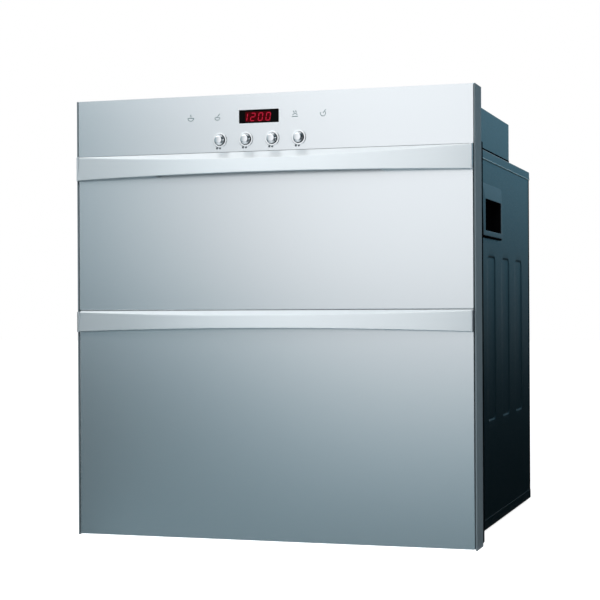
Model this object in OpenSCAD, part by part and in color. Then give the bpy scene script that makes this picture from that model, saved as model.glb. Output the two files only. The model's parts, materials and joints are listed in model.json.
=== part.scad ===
// Built-in dish dryer with two drawers under a control fascia.
// Millimetres, +Z up. The front faces -Y, +X is to the right seen from the front.
// The origin is the middle of the base of the whole object's box, at the height
// where the side trims stand.
// Each piece is one module and one node. A piece of the upper and of the lower drawer
// comes from the same module, called with that drawer's own heights.

/* [Front] */
// Width of the front, side trims included
front_w = 600; // [560:5:660]
// Depth of the front, from its face back to the front frame
front_d = 40; // [36:1:60]
// Height of the lower drawer's front
lower_front_h = 329.1; // [300:0.1:380]
// Height of the upper drawer's front
upper_front_h = 225; // [200:0.5:280]
// Height of the control fascia
fascia_h = 82; // [76:0.5:110]
// Seam between one front and the next
seam = 1.2; // [1:0.1:4]
// Height of the lower front's edge over the foot of the trims
foot_gap = 1.5; // [1:0.5:5]
// Play between a front and the side trim beside it
side_gap = 0.8; // [0.5:0.1:2]
// Sheet of the fascia and of the drawer fronts
front_t = 1; // [0.8:0.1:2]
// Thickness of a side trim
trim_t = 2; // [1.5:0.1:3]
// Width of the lip that fixes a trim to the front frame
trim_lip_w = 20; // [18:1:24]

/* [Handles] */
// Height of a handle where it meets the front
handle_h = 32.5; // [26:0.5:40]
// How far a handle stands out at its ends
handle_end_out = 8; // [5:0.5:12]
// How far a handle stands out in the middle
handle_out = 24; // [20:0.5:32]
// Slope of the handle's top edge in the middle
handle_top_fall = 8; // [3:0.5:10]
// Slope of the handle's lower edge in the middle
handle_low_rise = 4.5; // [2:0.5:8]
// Length of the finger pocket behind a handle
pocket_w = 340; // [240:5:420]
// Wall between the finger pocket and the handle's outside
handle_wall = 4; // [3:0.5:6]
// Thickness of a handle's end cap
cap_t = 3; // [2:0.5:5]

/* [Cabinet] */
// How much narrower the cabinet is than the front, on each side
side_step = 20; // [14:1:26]
// Depth of the cabinet behind the front
body_d = 510; // [480:5:600]
// Height of the base over the foot of the trims
base_z = 5; // [3:0.5:20]
// How far the top cover reaches above the seam under the fascia
cover_over = 7; // [4:0.5:12]
// Painted sheet of the panels
sheet_t = 0.8; // [0.6:0.1:2]
// Plate of the front frame
frame_t = 1.5; // [1:0.1:3]
// Height of the top cover's skirt
top_skirt = 14; // [8:1:25]
// Height of the base pan's skirt
base_skirt = 15; // [8:1:25]
// Depth of the control box, front to back
box_d = 330; // [280:5:400]
// Height of the control box over the top cover
box_h = 61; // [45:1:65]
// Inset of the control box from each side of the cabinet
box_inset = 2; // [1:0.5:20]
// Distance from a fixing screw to the edge of the front
fix_edge = 10; // [9:0.5:12]
// Radius of the fixing screws' holes
fix_r = 2.25; // [1.5:0.25:3]

/* [Side panels] */
// Width of a pressed panel in the cabinet's side
rib_w = 60; // [40:1:70]
// Height of a pressed panel
rib_h = 249; // [150:1:300]
// Distance from one pressed panel to the next
rib_pitch = 115; // [90:1:130]
// From the front face to the middle of the first pressed panel
rib_first = 213; // [190:1:230]
// Height of the pressed panels' foot
rib_z = 162; // [100:1:200]
// How deep the panels are pressed in
rib_deep = 1.5; // [1:0.5:6]
// Corner radius of a pressed panel
rib_r = 10; // [6:1:20]
// Length of the hand grip's opening
grip_w = 111; // [90:1:130]
// Height of the hand grip's opening
grip_h = 49; // [34:1:60]
// From the front face to the hand grip's opening
grip_from_front = 157; // [150:1:200]
// From the top of the cabinet down to the hand grip's opening
grip_down = 71; // [60:0.5:90]

/* [Cavities and runners] */
// Sheet of the liners
liner_t = 0.6; // [0.5:0.1:2]
// Depth of the liners behind the front frame
liner_d = 420; // [400:5:440]
// Space between a liner and the side panel
liner_gap = 14; // [10:1:20]
// From a front's edge to the edge of the cavity behind it
cavity_edge = 14; // [12:0.5:20]
// Length of a telescopic runner; a drawer's travel is 25 less
rail_l = 385; // [225:5:400]
// Height of a telescopic runner
rail_h = 45; // [35:1:50]
// Width of a telescopic runner, liner to drawer
rail_w = 12.7; // [12:0.1:14]
// Height of the runners' middle over the cavity floor
rail_mid_z = 48; // [40:1:60]

/* [Baskets] */
// Height of the upper wire basket
upper_basket_h = 100; // [60:1:120]
// Height of the lower wire basket
lower_basket_h = 150; // [100:1:180]
// Diameter of the basket's rim and floor wires
wire_d = 4; // [3:0.5:6]
// Distance between the floor wires, side by side
wire_pitch = 38; // [30:1:60]
// Distance between the pegs that hold plates
peg_pitch = 34; // [28:1:45]
// Height of the plate pegs over the basket's floor
peg_h = 78; // [50:1:100]

/* [Controls] */
// Middle of the control group, from the middle of the front
group_x = -14; // [-60:1:60]
// Distance from one button to the next
button_pitch = 39.8; // [30:0.2:50]
// Height of the buttons' middle over the fascia's lower edge
button_up = 17.3; // [14:0.1:20]
// Radius of a button
button_r = 7.5; // [5:0.1:9]
// How far a button stands out of the fascia
button_out = 8; // [5:0.5:10]
// How far a button goes in when it is pressed
button_sink = 1.5; // [0.8:0.1:2]
// Width of the display window
display_w = 60; // [40:1:80]
// Height of the display window
display_h = 19; // [15:0.5:25]
// Height of the display's middle over the fascia's lower edge
display_up = 49.5; // [46:0.5:60]

/* [Fan] */
// Radius of the fan's throat
fan_r = 60; // [45:1:70]
// Depth of the fan's housing
fan_d = 38; // [30:1:45]
// Depth of the heater in front of the fan
heater_d = 16; // [10:1:25]
// Number of fan blades
fan_blades = 7; // [5:1:11]

/* [Hidden] */

$fn = 48;

// Overrun of a cut past the face that it opens
over = 1;
// Clearance round a seated piece that stays still
snug = 0.1;
// Play between pieces that slide past each other
play = 0.5;

// Heights, from the foot of the trims up
lower_front_z = foot_gap;
upper_front_z = lower_front_z + lower_front_h + seam;
fascia_z = upper_front_z + upper_front_h + seam;
front_h = fascia_z + fascia_h;
body_top = fascia_z + cover_over;
box_top = body_top + box_h;
lower_cav_z = lower_front_z + cavity_edge;
lower_cav_top = lower_front_z + lower_front_h - cavity_edge;
upper_cav_z = upper_front_z + cavity_edge;
upper_cav_top = upper_front_z + upper_front_h - cavity_edge;

// Depths, from the front face back
screw_head_t = 1.6;
total_d = handle_out + front_d + body_d + screw_head_t;
front_y = handle_out - total_d / 2;
flange_y = front_y + front_d;
frame_back = flange_y + frame_t;
rear_y = flange_y + body_d;
back_y = rear_y - sheet_t;
liner_back = frame_back + liner_d;

// Half widths
front_x = front_w / 2;
inner_x = front_x - trim_t - side_gap;
body_x = front_x - side_step;
panel_x = body_x - sheet_t;
liner_x = panel_x - liner_gap;
cav_x = liner_x - liner_t;
drawer_x = cav_x - rail_w;
box_x = body_x - box_inset;

// Drawer front: skin, inner panel and seal, from the face back
inner_t = 0.8;
seal_t = 4;
seal_play = 0.4;
seal_w = 7;
seal_edge = 3;
skin_d = front_d - seal_play - seal_t - inner_t;
inner_back = front_y + skin_d + inner_t;

// Handle: chamfer of its long edges and the steps along its bow
handle_chamfer = 1;
handle_steps = 32;

// Front frame: fixing screws and the wiring window into the control box
fix_x = front_x - fix_edge;
fix_in = 40;
fix_low_z = lower_cav_z + fix_in;
fix_top_z = upper_cav_top - fix_in;
wire_window_w = 180;
wire_window_edge = 10;

// Side panels: rear flange, ribs and the moulded grip
flange_w = 12;
rib_count = 3;
grip_y = front_y + grip_from_front;
grip_z = body_top - grip_down - grip_h;
grip_lead = 20;
grip_tail = 17;
grip_head = 21.5;
grip_foot = 9;
bezel_low_out = 3.5;
bezel_top_out = 1;
bezel_wall = 2;

// Base glides
glide_r = 16;
glide_in = 60;

// Runners: channel sheet, and each member's height and place
rail_t = 1.2;
rail_set_back = 6;
rail_front = frame_back + rail_set_back;
rail_back = rail_front + rail_l;
mid_rail_h = rail_h - 2 * rail_t - 2 * play;
inner_rail_h = mid_rail_h - 2 * rail_t - 2 * play;
rail_lap = 3;

// Drawer frame, tray and basket
frame_side_t = 1.2;
frame_side_h = 52;
ledge_w = 16;
tray_t = 0.8;
tray_h = 12;
tray_play = 1;
basket_play = 2;
basket_seat = 0.3;
frame_up = rail_mid_z - frame_side_h / 2;
basket_floor_up = frame_up + frame_side_t + tray_h + basket_seat + wire_d / 2;
tray_x = drawer_x - frame_side_t - tray_play;
wire_faces = 6;
wire_bite_share = 0.8;
wire_bite = wire_d * wire_bite_share;
basket_x = drawer_x - frame_side_t - basket_play - wire_d / 2 - wire_bite;
basket_front = inner_back + basket_play + wire_d / 2 + wire_bite;
basket_back = rail_back - frame_side_t - basket_play - wire_d / 2 - wire_bite;
cross_pitch = 62;
peg_rows_y_shares = [0.56, 0.7, 0.84];
peg_span_share = 0.72;

// Controls
button_z = fascia_z + button_up;
display_z = fascia_z + display_up;
button_count = 4;
collar_rim = 3.6;
collar_flange_r = button_r + collar_rim;
collar_wall = 2;
collar_barrel_r = button_r + collar_wall;
collar_flange_t = 1.2;
collar_barrel_l = 5;
dome_h = 4;
keep_rim = 1.4;
keep_r = button_r + keep_rim;
keep_t = 1.2;
keep_play = 0.3;
plunger_r = 1.5;
plunger_l = 3;
switch_play = 0.4;
switch_w = 6;
switch_h = 3.5;
switch_nib_r = 1.5;
switch_nib_l = 0.7;
board_t = 1.6;
board_edge = 8;
board_y = front_y + collar_barrel_l + keep_play + keep_t + plunger_l + button_sink
  + switch_play + switch_nib_l + switch_h;
board_side = 18;
board_w = (button_count - 1) * button_pitch + 2 * board_side;
board_h = display_up - button_up + display_h + board_edge;
stud_r = 2.5;
lens_t = 2;
lens_lip = 2;
lens_proud = 0.3;
module_w = display_w - 2 * lens_lip;
module_d = 5;

// Control box: power supply, gland and louvres
supply_w = 150;
supply_l = 110;
supply_up = 8;
supply_x = 20;
supply_set_back = 40;
supply_y = frame_back + supply_set_back;
coil_w = 46;
coil_h = 38;
coil_core_t = 16;
terminal_w = 40;
terminal_l = 18;
terminal_h = 22;
terminal_in = 54;
ozone_w = 60;
ozone_l = 34;
ozone_h = 24;
gland_edge = 78;
gland_x = gland_edge - box_x;
gland_bore_r = 4;
gland_body_r = 7;
gland_flange_r = 12;
gland_out = 12;
gland_in = 10;
gland_flange_t = 3;
louvre_w = 70;
louvre_h = 4;
louvre_pitch = 10;
louvre_count = 4;
louvre_x = 110;

// Ultraviolet lamp under the upper cavity's roof
lamp_r = 7.5;
lamp_l = 280;
lamp_back = 60;
lamp_drop = 14;
holder_l = 16;
holder_w = 24;
guard_wall = 1;
guard_d = 30;
guard_slot_w = 22;
guard_slot_pitch = 32;
guard_slots = 8;

// Heater and fan behind the lower cavity
fan_up = 150;
fan_edge = 6;
fan_z = lower_cav_z + fan_up;
fan_frame = 2 * (fan_r + fan_edge);
heater_y = liner_back;
fan_y = heater_y + heater_d;
fin_count = 13;
fin_t = 1;
heater_wall = 5;
motor_r = 18;
motor_l = 12;
hub_r = 21;
hub_l = 14;
shaft_r = 2;
shaft_play = 0.05;
blade_t = 1.6;
blade_pitch = 32;
blade_chord = 22;
blade_gap = 2.5;
blade_root = 2;
strut_w = 5;
strut_t = 3;
vent_w = 96;
vent_count = 8;
screw_head_r = 3.5;
screw_rows = 5;

// Rectangular block from its lowest corner to its highest
module block(low, high) {
  translate(low) cube(high - low);
}

// Flat outline with four round corners, about its middle
module round_rect(w, h, r) {
  square([w - 2 * r, h], center = true);
  square([w, h - 2 * r], center = true);
  for (sx = [-1, 1], sy = [-1, 1])
    translate([sx * (w / 2 - r), sy * (h / 2 - r)]) circle(r = r);
}

// Slab of a Y-Z outline, from x0 to x1
module slab_x(x0, x1) {
  translate([x0, 0, 0]) rotate([90, 0, 90]) linear_extrude(height = x1 - x0) children();
}

// Slab of an X-Z outline, from y0 to y1
module slab_y(y0, y1) {
  translate([0, y1, 0]) rotate([90, 0, 0]) linear_extrude(height = y1 - y0) children();
}

// Round bars along each axis
module bar_x(x0, x1, y, z, r) {
  translate([x0, y, z]) rotate([0, 90, 0]) cylinder(r = r, h = x1 - x0);
}
module bar_y(x, y0, y1, z, r) {
  translate([x, y1, z]) rotate([90, 0, 0]) cylinder(r = r, h = y1 - y0);
}
module bar_z(x, y, z0, z1, r) {
  translate([x, y, z0]) cylinder(r = r, h = z1 - z0);
}

// The same piece on both sides
module both_sides() {
  children();
  mirror([1, 0, 0]) children();
}

// Front frame: the plate that the fronts close against, with the two cavities' mouths,
// the window for the wiring and the four screw holes that hold the cabinet in its niche
module front_frame() {
  color("dimgray") difference() {
    block([-front_x, flange_y, 0], [front_x, frame_back, front_h]);
    block([-cav_x, flange_y - over, lower_cav_z], [cav_x, frame_back + over, lower_cav_top]);
    block([-cav_x, flange_y - over, upper_cav_z], [cav_x, frame_back + over, upper_cav_top]);
    block([-wire_window_w / 2, flange_y - over, body_top + wire_window_edge],
          [wire_window_w / 2, frame_back + over, box_top - wire_window_edge]);
    for (sx = [-1, 1], z = [fix_low_z, fix_top_z])
      bar_y(sx * fix_x, flange_y - over, frame_back + over, z, fix_r);
  }
}

// Side trim: dark strip from the front face back to the frame, with a lip on the frame
module side_trim() {
  color("slategray") difference() {
    union() {
      block([front_x - trim_t, front_y, 0], [front_x, flange_y, front_h]);
      block([front_x - trim_lip_w, flange_y - trim_t, 0], [front_x - trim_t, flange_y, front_h]);
    }
    for (z = [fix_low_z, fix_top_z])
      bar_y(fix_x, flange_y - trim_t - over, flange_y + over, z, 2 * fix_r);
  }
}
module side_trim_right() { side_trim(); }
module side_trim_left() { mirror([1, 0, 0]) side_trim(); }

// Outlines of the pressed panels and of the grip's opening, in Y and Z
module rib_outline(shrink) {
  for (i = [0 : rib_count - 1])
    translate([front_y + rib_first + i * rib_pitch, rib_z + rib_h / 2])
      round_rect(rib_w - 2 * shrink, rib_h - 2 * shrink, rib_r - shrink);
}
module grip_outline() {
  translate([grip_y, grip_z]) square([grip_w, grip_h]);
}

// Side panel: painted sheet with three panels pressed in, a rear flange and the grip's hole
module side_panel() {
  color("darkslategray") difference() {
    union() {
      block([panel_x, frame_back, base_z + sheet_t], [body_x, back_y, body_top - sheet_t]);
      block([body_x - flange_w, back_y - sheet_t, base_z + sheet_t],
            [panel_x, back_y, body_top - sheet_t]);
      slab_x(panel_x - rib_deep, panel_x) rib_outline(0);
    }
    slab_x(body_x - rib_deep, body_x + over) rib_outline(sheet_t);
    slab_x(panel_x - over, body_x + over) grip_outline();
  }
}
module side_panel_right() { side_panel(); }
module side_panel_left() { mirror([1, 0, 0]) side_panel(); }

// Grip bezel: moulded frame, thicker at its foot, with a cup for the fingers behind it
module grip_bezel() {
  z0 = grip_z - grip_foot;
  z1 = grip_z + grip_h + grip_head;
  cup_x = panel_x - liner_gap + play;
  color("darkslategray") difference() {
    union() {
      translate([0, grip_y + grip_w + grip_tail, 0]) rotate([90, 0, 0])
        linear_extrude(height = grip_lead + grip_w + grip_tail)
          polygon([[body_x, z0], [body_x + bezel_low_out, z0],
                   [body_x + bezel_low_out, grip_z + grip_h], [body_x + bezel_top_out, z1],
                   [body_x, z1]]);
      block([cup_x, grip_y + snug, grip_z + snug],
            [body_x, grip_y + grip_w - snug, grip_z + grip_h - snug]);
    }
    block([cup_x + bezel_wall, grip_y + bezel_wall, grip_z + bezel_wall],
          [body_x + bezel_low_out + over, grip_y + grip_w - bezel_wall,
           grip_z + grip_h - bezel_wall]);
  }
}
module grip_bezel_right() { grip_bezel(); }
module grip_bezel_left() { mirror([1, 0, 0]) grip_bezel(); }

// Stack of slots with round ends, about a middle, cut along Y
module slots_y(x, z, w, count, y0, y1) {
  for (i = [0 : count - 1])
    translate([x, 0, z + (i - (count - 1) / 2) * louvre_pitch])
      slab_y(y0, y1) round_rect(w, louvre_h, louvre_h / 2 - snug);
}

// Back panel, with vent slots behind the fan
module back_panel() {
  color("silver") difference() {
    block([-body_x, back_y, base_z], [body_x, rear_y, body_top]);
    slots_y(0, fan_z, vent_w, vent_count, back_y - over, rear_y + over);
  }
}

// Top cover: sheet with a skirt over each side panel
module top_cover() {
  color("darkslategray") {
    block([-body_x, frame_back, body_top - sheet_t], [body_x, back_y, body_top]);
    both_sides() block([body_x, frame_back, body_top - top_skirt],
                       [body_x + sheet_t, back_y, body_top]);
  }
}

// Base pan: sheet with a skirt up each side panel
module base_pan() {
  color("darkslategray") {
    block([-body_x, frame_back, base_z], [body_x, back_y, base_z + sheet_t]);
    both_sides() block([body_x, frame_back, base_z],
                       [body_x + sheet_t, back_y, base_z + base_skirt]);
  }
}

// Four low glides under the base pan
module base_glides() {
  color("black") both_sides()
    for (y = [frame_back + glide_in, back_y - glide_in])
      bar_z(body_x - glide_in, y, 0, base_z, glide_r);
}

// Control box: the step on top of the cabinet, open below and towards the front frame
module control_box() {
  color("darkslategray") difference() {
    block([-box_x, frame_back, body_top], [box_x, frame_back + box_d, box_top]);
    block([-box_x + sheet_t, frame_back - over, body_top - over],
          [box_x - sheet_t, frame_back + box_d - sheet_t, box_top - sheet_t]);
    bar_y(gland_x, frame_back + box_d - sheet_t - over, frame_back + box_d + over,
          body_top + box_h / 2, gland_body_r + snug);
    slots_y(louvre_x, body_top + box_h / 2, louvre_w, louvre_count,
            frame_back + box_d - sheet_t - over, frame_back + box_d + over);
  }
}

// Liner: stainless cavity, open at the front, with a rim on the front frame
module liner(z0, z1) {
  color("gainsboro") difference() {
    block([-liner_x, frame_back, z0 - liner_t], [liner_x, liner_back, z1 + liner_t]);
    block([-cav_x, frame_back - over, z0], [cav_x, liner_back - liner_t, z1]);
    children();
  }
}
module upper_liner() { liner(upper_cav_z, upper_cav_top) {} }
module lower_liner() {
  liner(lower_cav_z, lower_cav_top)
    bar_y(0, liner_back - liner_t - over, liner_back + over, fan_z, fan_r - heater_wall);
}

// Fascia: formed sheet with returns back to the frame, cut out round the trims' lips, and
// weld studs for the board
module fascia_panel() {
  color("lightgray") difference() {
    union() {
      difference() {
        block([-inner_x, front_y, fascia_z], [inner_x, flange_y, front_h]);
        block([-inner_x + front_t, front_y + front_t, fascia_z + front_t],
              [inner_x - front_t, flange_y + over, front_h - front_t]);
        both_sides() block([front_x - trim_lip_w - snug, flange_y - trim_t - snug, fascia_z - over],
                           [front_x, flange_y + over, front_h + over]);
      }
      for (sx = [-1, 1], sz = [-1, 1])
        bar_y(group_x + sx * (board_w / 2 - stud_r - snug), front_y + front_t - snug, board_y,
              board_mid_z() + sz * (board_h / 2 - stud_r - snug), stud_r);
    }
    translate([group_x, 0, display_z]) slab_y(front_y - over, front_y + front_t + over)
      square([display_w + 2 * snug, display_h + 2 * snug], center = true);
    for (i = [0 : button_count - 1])
      bar_y(button_x(i), front_y - over, front_y + front_t + over, button_z,
            collar_barrel_r + snug);
  }
}
function button_x(i) = group_x + (i - (button_count - 1) / 2) * button_pitch;
function board_mid_z() = (button_z + display_z) / 2;

// Display window: dark lens with a lip behind the fascia
module display_window() {
  color("black") {
    translate([group_x, 0, display_z]) {
      slab_y(front_y - lens_proud, front_y + front_t) square([display_w, display_h], center = true);
      slab_y(front_y + front_t, front_y + front_t + lens_t)
        square([display_w + 2 * lens_lip, display_h + 2 * lens_lip], center = true);
    }
  }
}

// Display module: the block of digits between the window and the board
module display_module() {
  color("darkred") translate([group_x, 0, display_z])
    slab_y(board_y - module_d, board_y) square([module_w, display_h - lens_lip], center = true);
}

// Control board
module control_board() {
  color("green") translate([group_x, 0, board_mid_z()])
    slab_y(board_y, board_y + board_t) square([board_w, board_h], center = true);
}

// Four switches on the board, each with its nib towards a button
module tact_switches() {
  color("black") for (i = [0 : button_count - 1]) {
    translate([button_x(i), 0, button_z])
      slab_y(board_y - switch_h, board_y) square([switch_w, switch_w], center = true);
    bar_y(button_x(i), board_y - switch_h - switch_nib_l, board_y - switch_h,
          button_z, switch_nib_r);
  }
}

// Ring round each button: a thin flange on the fascia and a barrel through it
module button_collars() {
  color("whitesmoke") for (i = [0 : button_count - 1])
    translate([button_x(i), front_y, button_z]) rotate([90, 0, 0]) rotate_extrude()
      polygon([[button_r + play, collar_flange_t], [collar_flange_r - collar_flange_t / 2,
                collar_flange_t], [collar_flange_r, 0], [collar_barrel_r, 0],
               [collar_barrel_r, -collar_barrel_l], [button_r + play, -collar_barrel_l]]);
}

// Button: domed cap, the keeper that stops it behind its collar, and a plunger
module button(i) {
  dome_r = (button_r * button_r + dome_h * dome_h) / (2 * dome_h);
  keeper = collar_barrel_l + keep_play;
  color("silver") translate([button_x(i), front_y, button_z]) rotate([90, 0, 0]) {
    translate([0, 0, -keeper]) cylinder(r = button_r, h = keeper + button_out - dome_h);
    intersection() {
      translate([0, 0, button_out - dome_r]) sphere(r = dome_r);
      translate([0, 0, button_out - dome_h - snug]) cylinder(r = button_r, h = dome_h + over);
    }
    translate([0, 0, -keeper - keep_t]) cylinder(r = keep_r, h = keep_t);
    translate([0, 0, -keeper - keep_t - plunger_l]) cylinder(r = plunger_r, h = plunger_l);
  }
}
module button_1() { button(0); }
module button_2() { button(1); }
module button_3() { button(2); }
module button_4() { button(3); }

// Power board on its feet in the control box
module power_board() {
  top = body_top + supply_up;
  color("green") {
    block([supply_x - supply_w / 2, supply_y, top],
          [supply_x + supply_w / 2, supply_y + supply_l, top + board_t]);
    for (sx = [-1, 1], sy = [0, 1])
      bar_z(supply_x + sx * (supply_w / 2 - 2 * stud_r),
            supply_y + 2 * stud_r + sy * (supply_l - 4 * stud_r), body_top, top, stud_r);
  }
}

// Transformer: laminated core with its winding
module transformer() {
  base = body_top + supply_up + board_t;
  mid_y = supply_y + supply_l / 2;
  color("goldenrod") {
    block([supply_x - coil_w / 2, mid_y - coil_core_t / 2, base],
          [supply_x + coil_w / 2, mid_y + coil_core_t / 2, base + coil_h]);
    bar_x(supply_x - coil_w / 3, supply_x + coil_w / 3, mid_y, base + coil_h / 2, coil_h / 3);
  }
}

// Terminal block in front of the gland
module terminal_block() {
  y1 = frame_back + box_d - terminal_in;
  top = body_top + terminal_h;
  color("white") difference() {
    block([gland_x - terminal_w / 2, y1 - terminal_l, body_top], [gland_x + terminal_w / 2, y1, top]);
    for (i = [-1 : 1])
      bar_z(gland_x + i * terminal_w / 4, y1 - terminal_l / 2, body_top + terminal_h / 2,
            top + over, stud_r);
  }
}

// Ozone generator on the cabinet's top, with its outlet stub
module ozone_generator() {
  x0 = supply_x + supply_w;
  color("lightgray") {
    block([x0 - ozone_w / 2, supply_y, body_top],
          [x0 + ozone_w / 2, supply_y + ozone_l, body_top + ozone_h]);
    bar_y(x0, supply_y + ozone_l, supply_y + ozone_l + ozone_h / 2, body_top + ozone_h / 2,
          ozone_h / 6);
  }
}

// Cable gland in the control box's rear wall, with the bore for the mains lead
module cable_gland() {
  wall_y = frame_back + box_d;
  z = body_top + box_h / 2;
  color("black") difference() {
    union() {
      bar_y(gland_x, wall_y - sheet_t - gland_in, wall_y + gland_out, z, gland_body_r);
      bar_y(gland_x, wall_y, wall_y + gland_flange_t, z, gland_flange_r);
      bar_y(gland_x, wall_y - sheet_t - gland_flange_t, wall_y - sheet_t, z, gland_flange_r);
    }
    bar_y(gland_x, wall_y - sheet_t - gland_in - over, wall_y + gland_out + over, z, gland_bore_r);
  }
}

// Ultraviolet lamp, its end holders and its guard, under the upper cavity's roof
lamp_y = liner_back - liner_t - lamp_back;
lamp_z = upper_cav_top - lamp_drop;
module uv_lamp() {
  color("white") bar_x(-lamp_l / 2, lamp_l / 2, lamp_y, lamp_z, lamp_r);
}
module uv_lamp_holders() {
  color("lightgray") both_sides()
    block([lamp_l / 2, lamp_y - holder_w / 2, upper_cav_top - lamp_drop - holder_w / 2],
          [lamp_l / 2 + holder_l, lamp_y + holder_w / 2, upper_cav_top]);
}
module uv_lamp_guard() {
  z0 = lamp_z - holder_w / 2 - play - guard_wall;
  x0 = lamp_l / 2 + holder_l + play + guard_wall;
  y0 = lamp_y - guard_d / 2;
  y1 = lamp_y + guard_d / 2;
  color("silver") difference() {
    block([-x0, y0, z0], [x0, y1, upper_cav_top]);
    block([-x0 + guard_wall, y0 + guard_wall, z0 + guard_wall],
          [x0 - guard_wall, y1 - guard_wall, upper_cav_top + over]);
    for (i = [0 : guard_slots - 1])
      translate([(i - (guard_slots - 1) / 2) * guard_slot_pitch, 0, 0])
        block([-guard_slot_w / 2, y0 + 4 * guard_wall, z0 - over],
              [guard_slot_w / 2, y1 - 4 * guard_wall, z0 + guard_wall + over]);
  }
}

// Heater: square frame on the lower liner's back, filled with upright fins
module heater_block() {
  half = fan_frame / 2;
  color("silver") difference() {
    block([-half, heater_y, fan_z - half], [half, fan_y, fan_z + half]);
    for (i = [0 : fin_count - 1]) {
      cell = (fan_frame - 2 * heater_wall + fin_t) / fin_count;
      x0 = -half + heater_wall + i * cell;
      block([x0, heater_y - over, fan_z - half + heater_wall],
            [x0 + cell - fin_t, fan_y + over, fan_z + half - heater_wall]);
    }
  }
}

// Fan housing: square frame with a round throat, and four struts to the motor's seat
module fan_throat() {
  difference() {
    square([fan_frame, fan_frame], center = true);
    circle(r = fan_r);
  }
}
module fan_housing() {
  seat_y = fan_y + fan_d - strut_t;
  color("dimgray") translate([0, 0, fan_z]) {
    slab_y(fan_y, seat_y) fan_throat();
    slab_y(seat_y, fan_y + fan_d) {
      fan_throat();
      circle(r = motor_r + strut_t);
      for (a = [0 : 90 : 270])
        rotate(a) translate([(motor_r + fan_r + strut_t) / 2, 0])
          square([fan_r - motor_r + strut_t, strut_w], center = true);
    }
  }
}

// Fan motor on its seat, with the shaft that carries the impeller
motor_y = fan_y + fan_d - strut_t - motor_l;
hub_y = motor_y - blade_gap - hub_l;
module fan_motor() {
  color("gray") {
    bar_y(0, motor_y, motor_y + motor_l, fan_z, motor_r);
    bar_y(0, hub_y + blade_root, motor_y, fan_z, shaft_r);
  }
}

// Impeller: hub with a bore for the shaft, and pitched blades
module fan_impeller() {
  blade_l = fan_r - hub_r - blade_gap;
  color("black") difference() {
    union() {
      bar_y(0, hub_y, hub_y + hub_l, fan_z, hub_r);
      for (i = [0 : fan_blades - 1])
        translate([0, hub_y + hub_l / 2, fan_z]) rotate([0, i * 360 / fan_blades, 0])
          translate([hub_r - blade_root, 0, 0]) rotate([blade_pitch, 0, 0])
            translate([0, -blade_t / 2, -blade_chord / 2])
              cube([blade_l + blade_root, blade_t, blade_chord]);
    }
    bar_y(0, hub_y - over, hub_y + hub_l + over, fan_z, shaft_r + shaft_play);
  }
}

// Screw heads down both edges of the back panel
module panel_screws() {
  z_low = base_z + base_skirt;
  z_step = (body_top - base_z - 2 * base_skirt) / (screw_rows - 1);
  color("silver") both_sides() for (i = [0 : screw_rows - 1])
    bar_y(body_x - flange_w / 2, rear_y, rear_y + screw_head_t, z_low + i * z_step, screw_head_r);
}

// One side's telescopic runner members, as channels along Y
module channel(x_web, x_edge, z_mid, h, y0, y1) {
  lo = min(x_web, x_edge);
  hi = max(x_web, x_edge);
  web_side = x_web > x_edge ? -1 : 1;
  block([min(x_web, x_web + web_side * rail_t), y0, z_mid - h / 2],
        [max(x_web, x_web + web_side * rail_t), y1, z_mid + h / 2]);
  for (sz = [-1, 1])
    block([lo, y0, z_mid + sz * (h / 2 - rail_t / 2) - rail_t / 2],
          [hi, y1, z_mid + sz * (h / 2 - rail_t / 2) + rail_t / 2]);
}
module rails_fixed(z) {
  color("gray") both_sides()
    channel(cav_x, drawer_x + rail_lap, z, rail_h, rail_front, rail_back);
}
module rails_mid(z) {
  color("silver") both_sides()
    channel(cav_x - rail_t - play, drawer_x + rail_t + play, z, mid_rail_h,
            rail_front, rail_back);
}
module rails_inner(z) {
  color("gray") both_sides()
    channel(drawer_x, cav_x - 2 * rail_t - 2 * play, z, inner_rail_h, rail_front, rail_back);
}
module upper_rails_fixed() { rails_fixed(upper_cav_z + rail_mid_z); }
module lower_rails_fixed() { rails_fixed(lower_cav_z + rail_mid_z); }
module upper_rails_mid() { rails_mid(upper_cav_z + rail_mid_z); }
module lower_rails_mid() { rails_mid(lower_cav_z + rail_mid_z); }
module upper_rails_inner() { rails_inner(upper_cav_z + rail_mid_z); }
module lower_rails_inner() { rails_inner(lower_cav_z + rail_mid_z); }

// Drawer front: formed skin, open at the back
module drawer_front(z0, h) {
  color("lightgray") difference() {
    block([-inner_x, front_y, z0], [inner_x, front_y + skin_d, z0 + h]);
    block([-inner_x + front_t, front_y + front_t, z0 + front_t],
          [inner_x - front_t, front_y + skin_d + over, z0 + h - front_t]);
  }
}
module upper_front() { drawer_front(upper_front_z, upper_front_h); }
module lower_front() { drawer_front(lower_front_z, lower_front_h); }

// Inner panel that closes the back of a drawer front
module inner_panel(z0, h) {
  color("gainsboro")
    block([-inner_x, front_y + skin_d, z0], [inner_x, inner_back, z0 + h]);
}
module upper_inner_panel() { inner_panel(upper_front_z, upper_front_h); }
module lower_inner_panel() { inner_panel(lower_front_z, lower_front_h); }

// Seal round a cavity's mouth, on the inner panel
module seal(z0, z1) {
  near = seal_edge;
  far = seal_edge + seal_w;
  color("darkgray") difference() {
    block([-cav_x - far, inner_back, z0 - far], [cav_x + far, flange_y - seal_play, z1 + far]);
    block([-cav_x - near, inner_back - over, z0 - near], [cav_x + near, flange_y, z1 + near]);
  }
}
module upper_seal() { seal(upper_cav_z, upper_cav_top); }
module lower_seal() { seal(lower_cav_z, lower_cav_top); }

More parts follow.
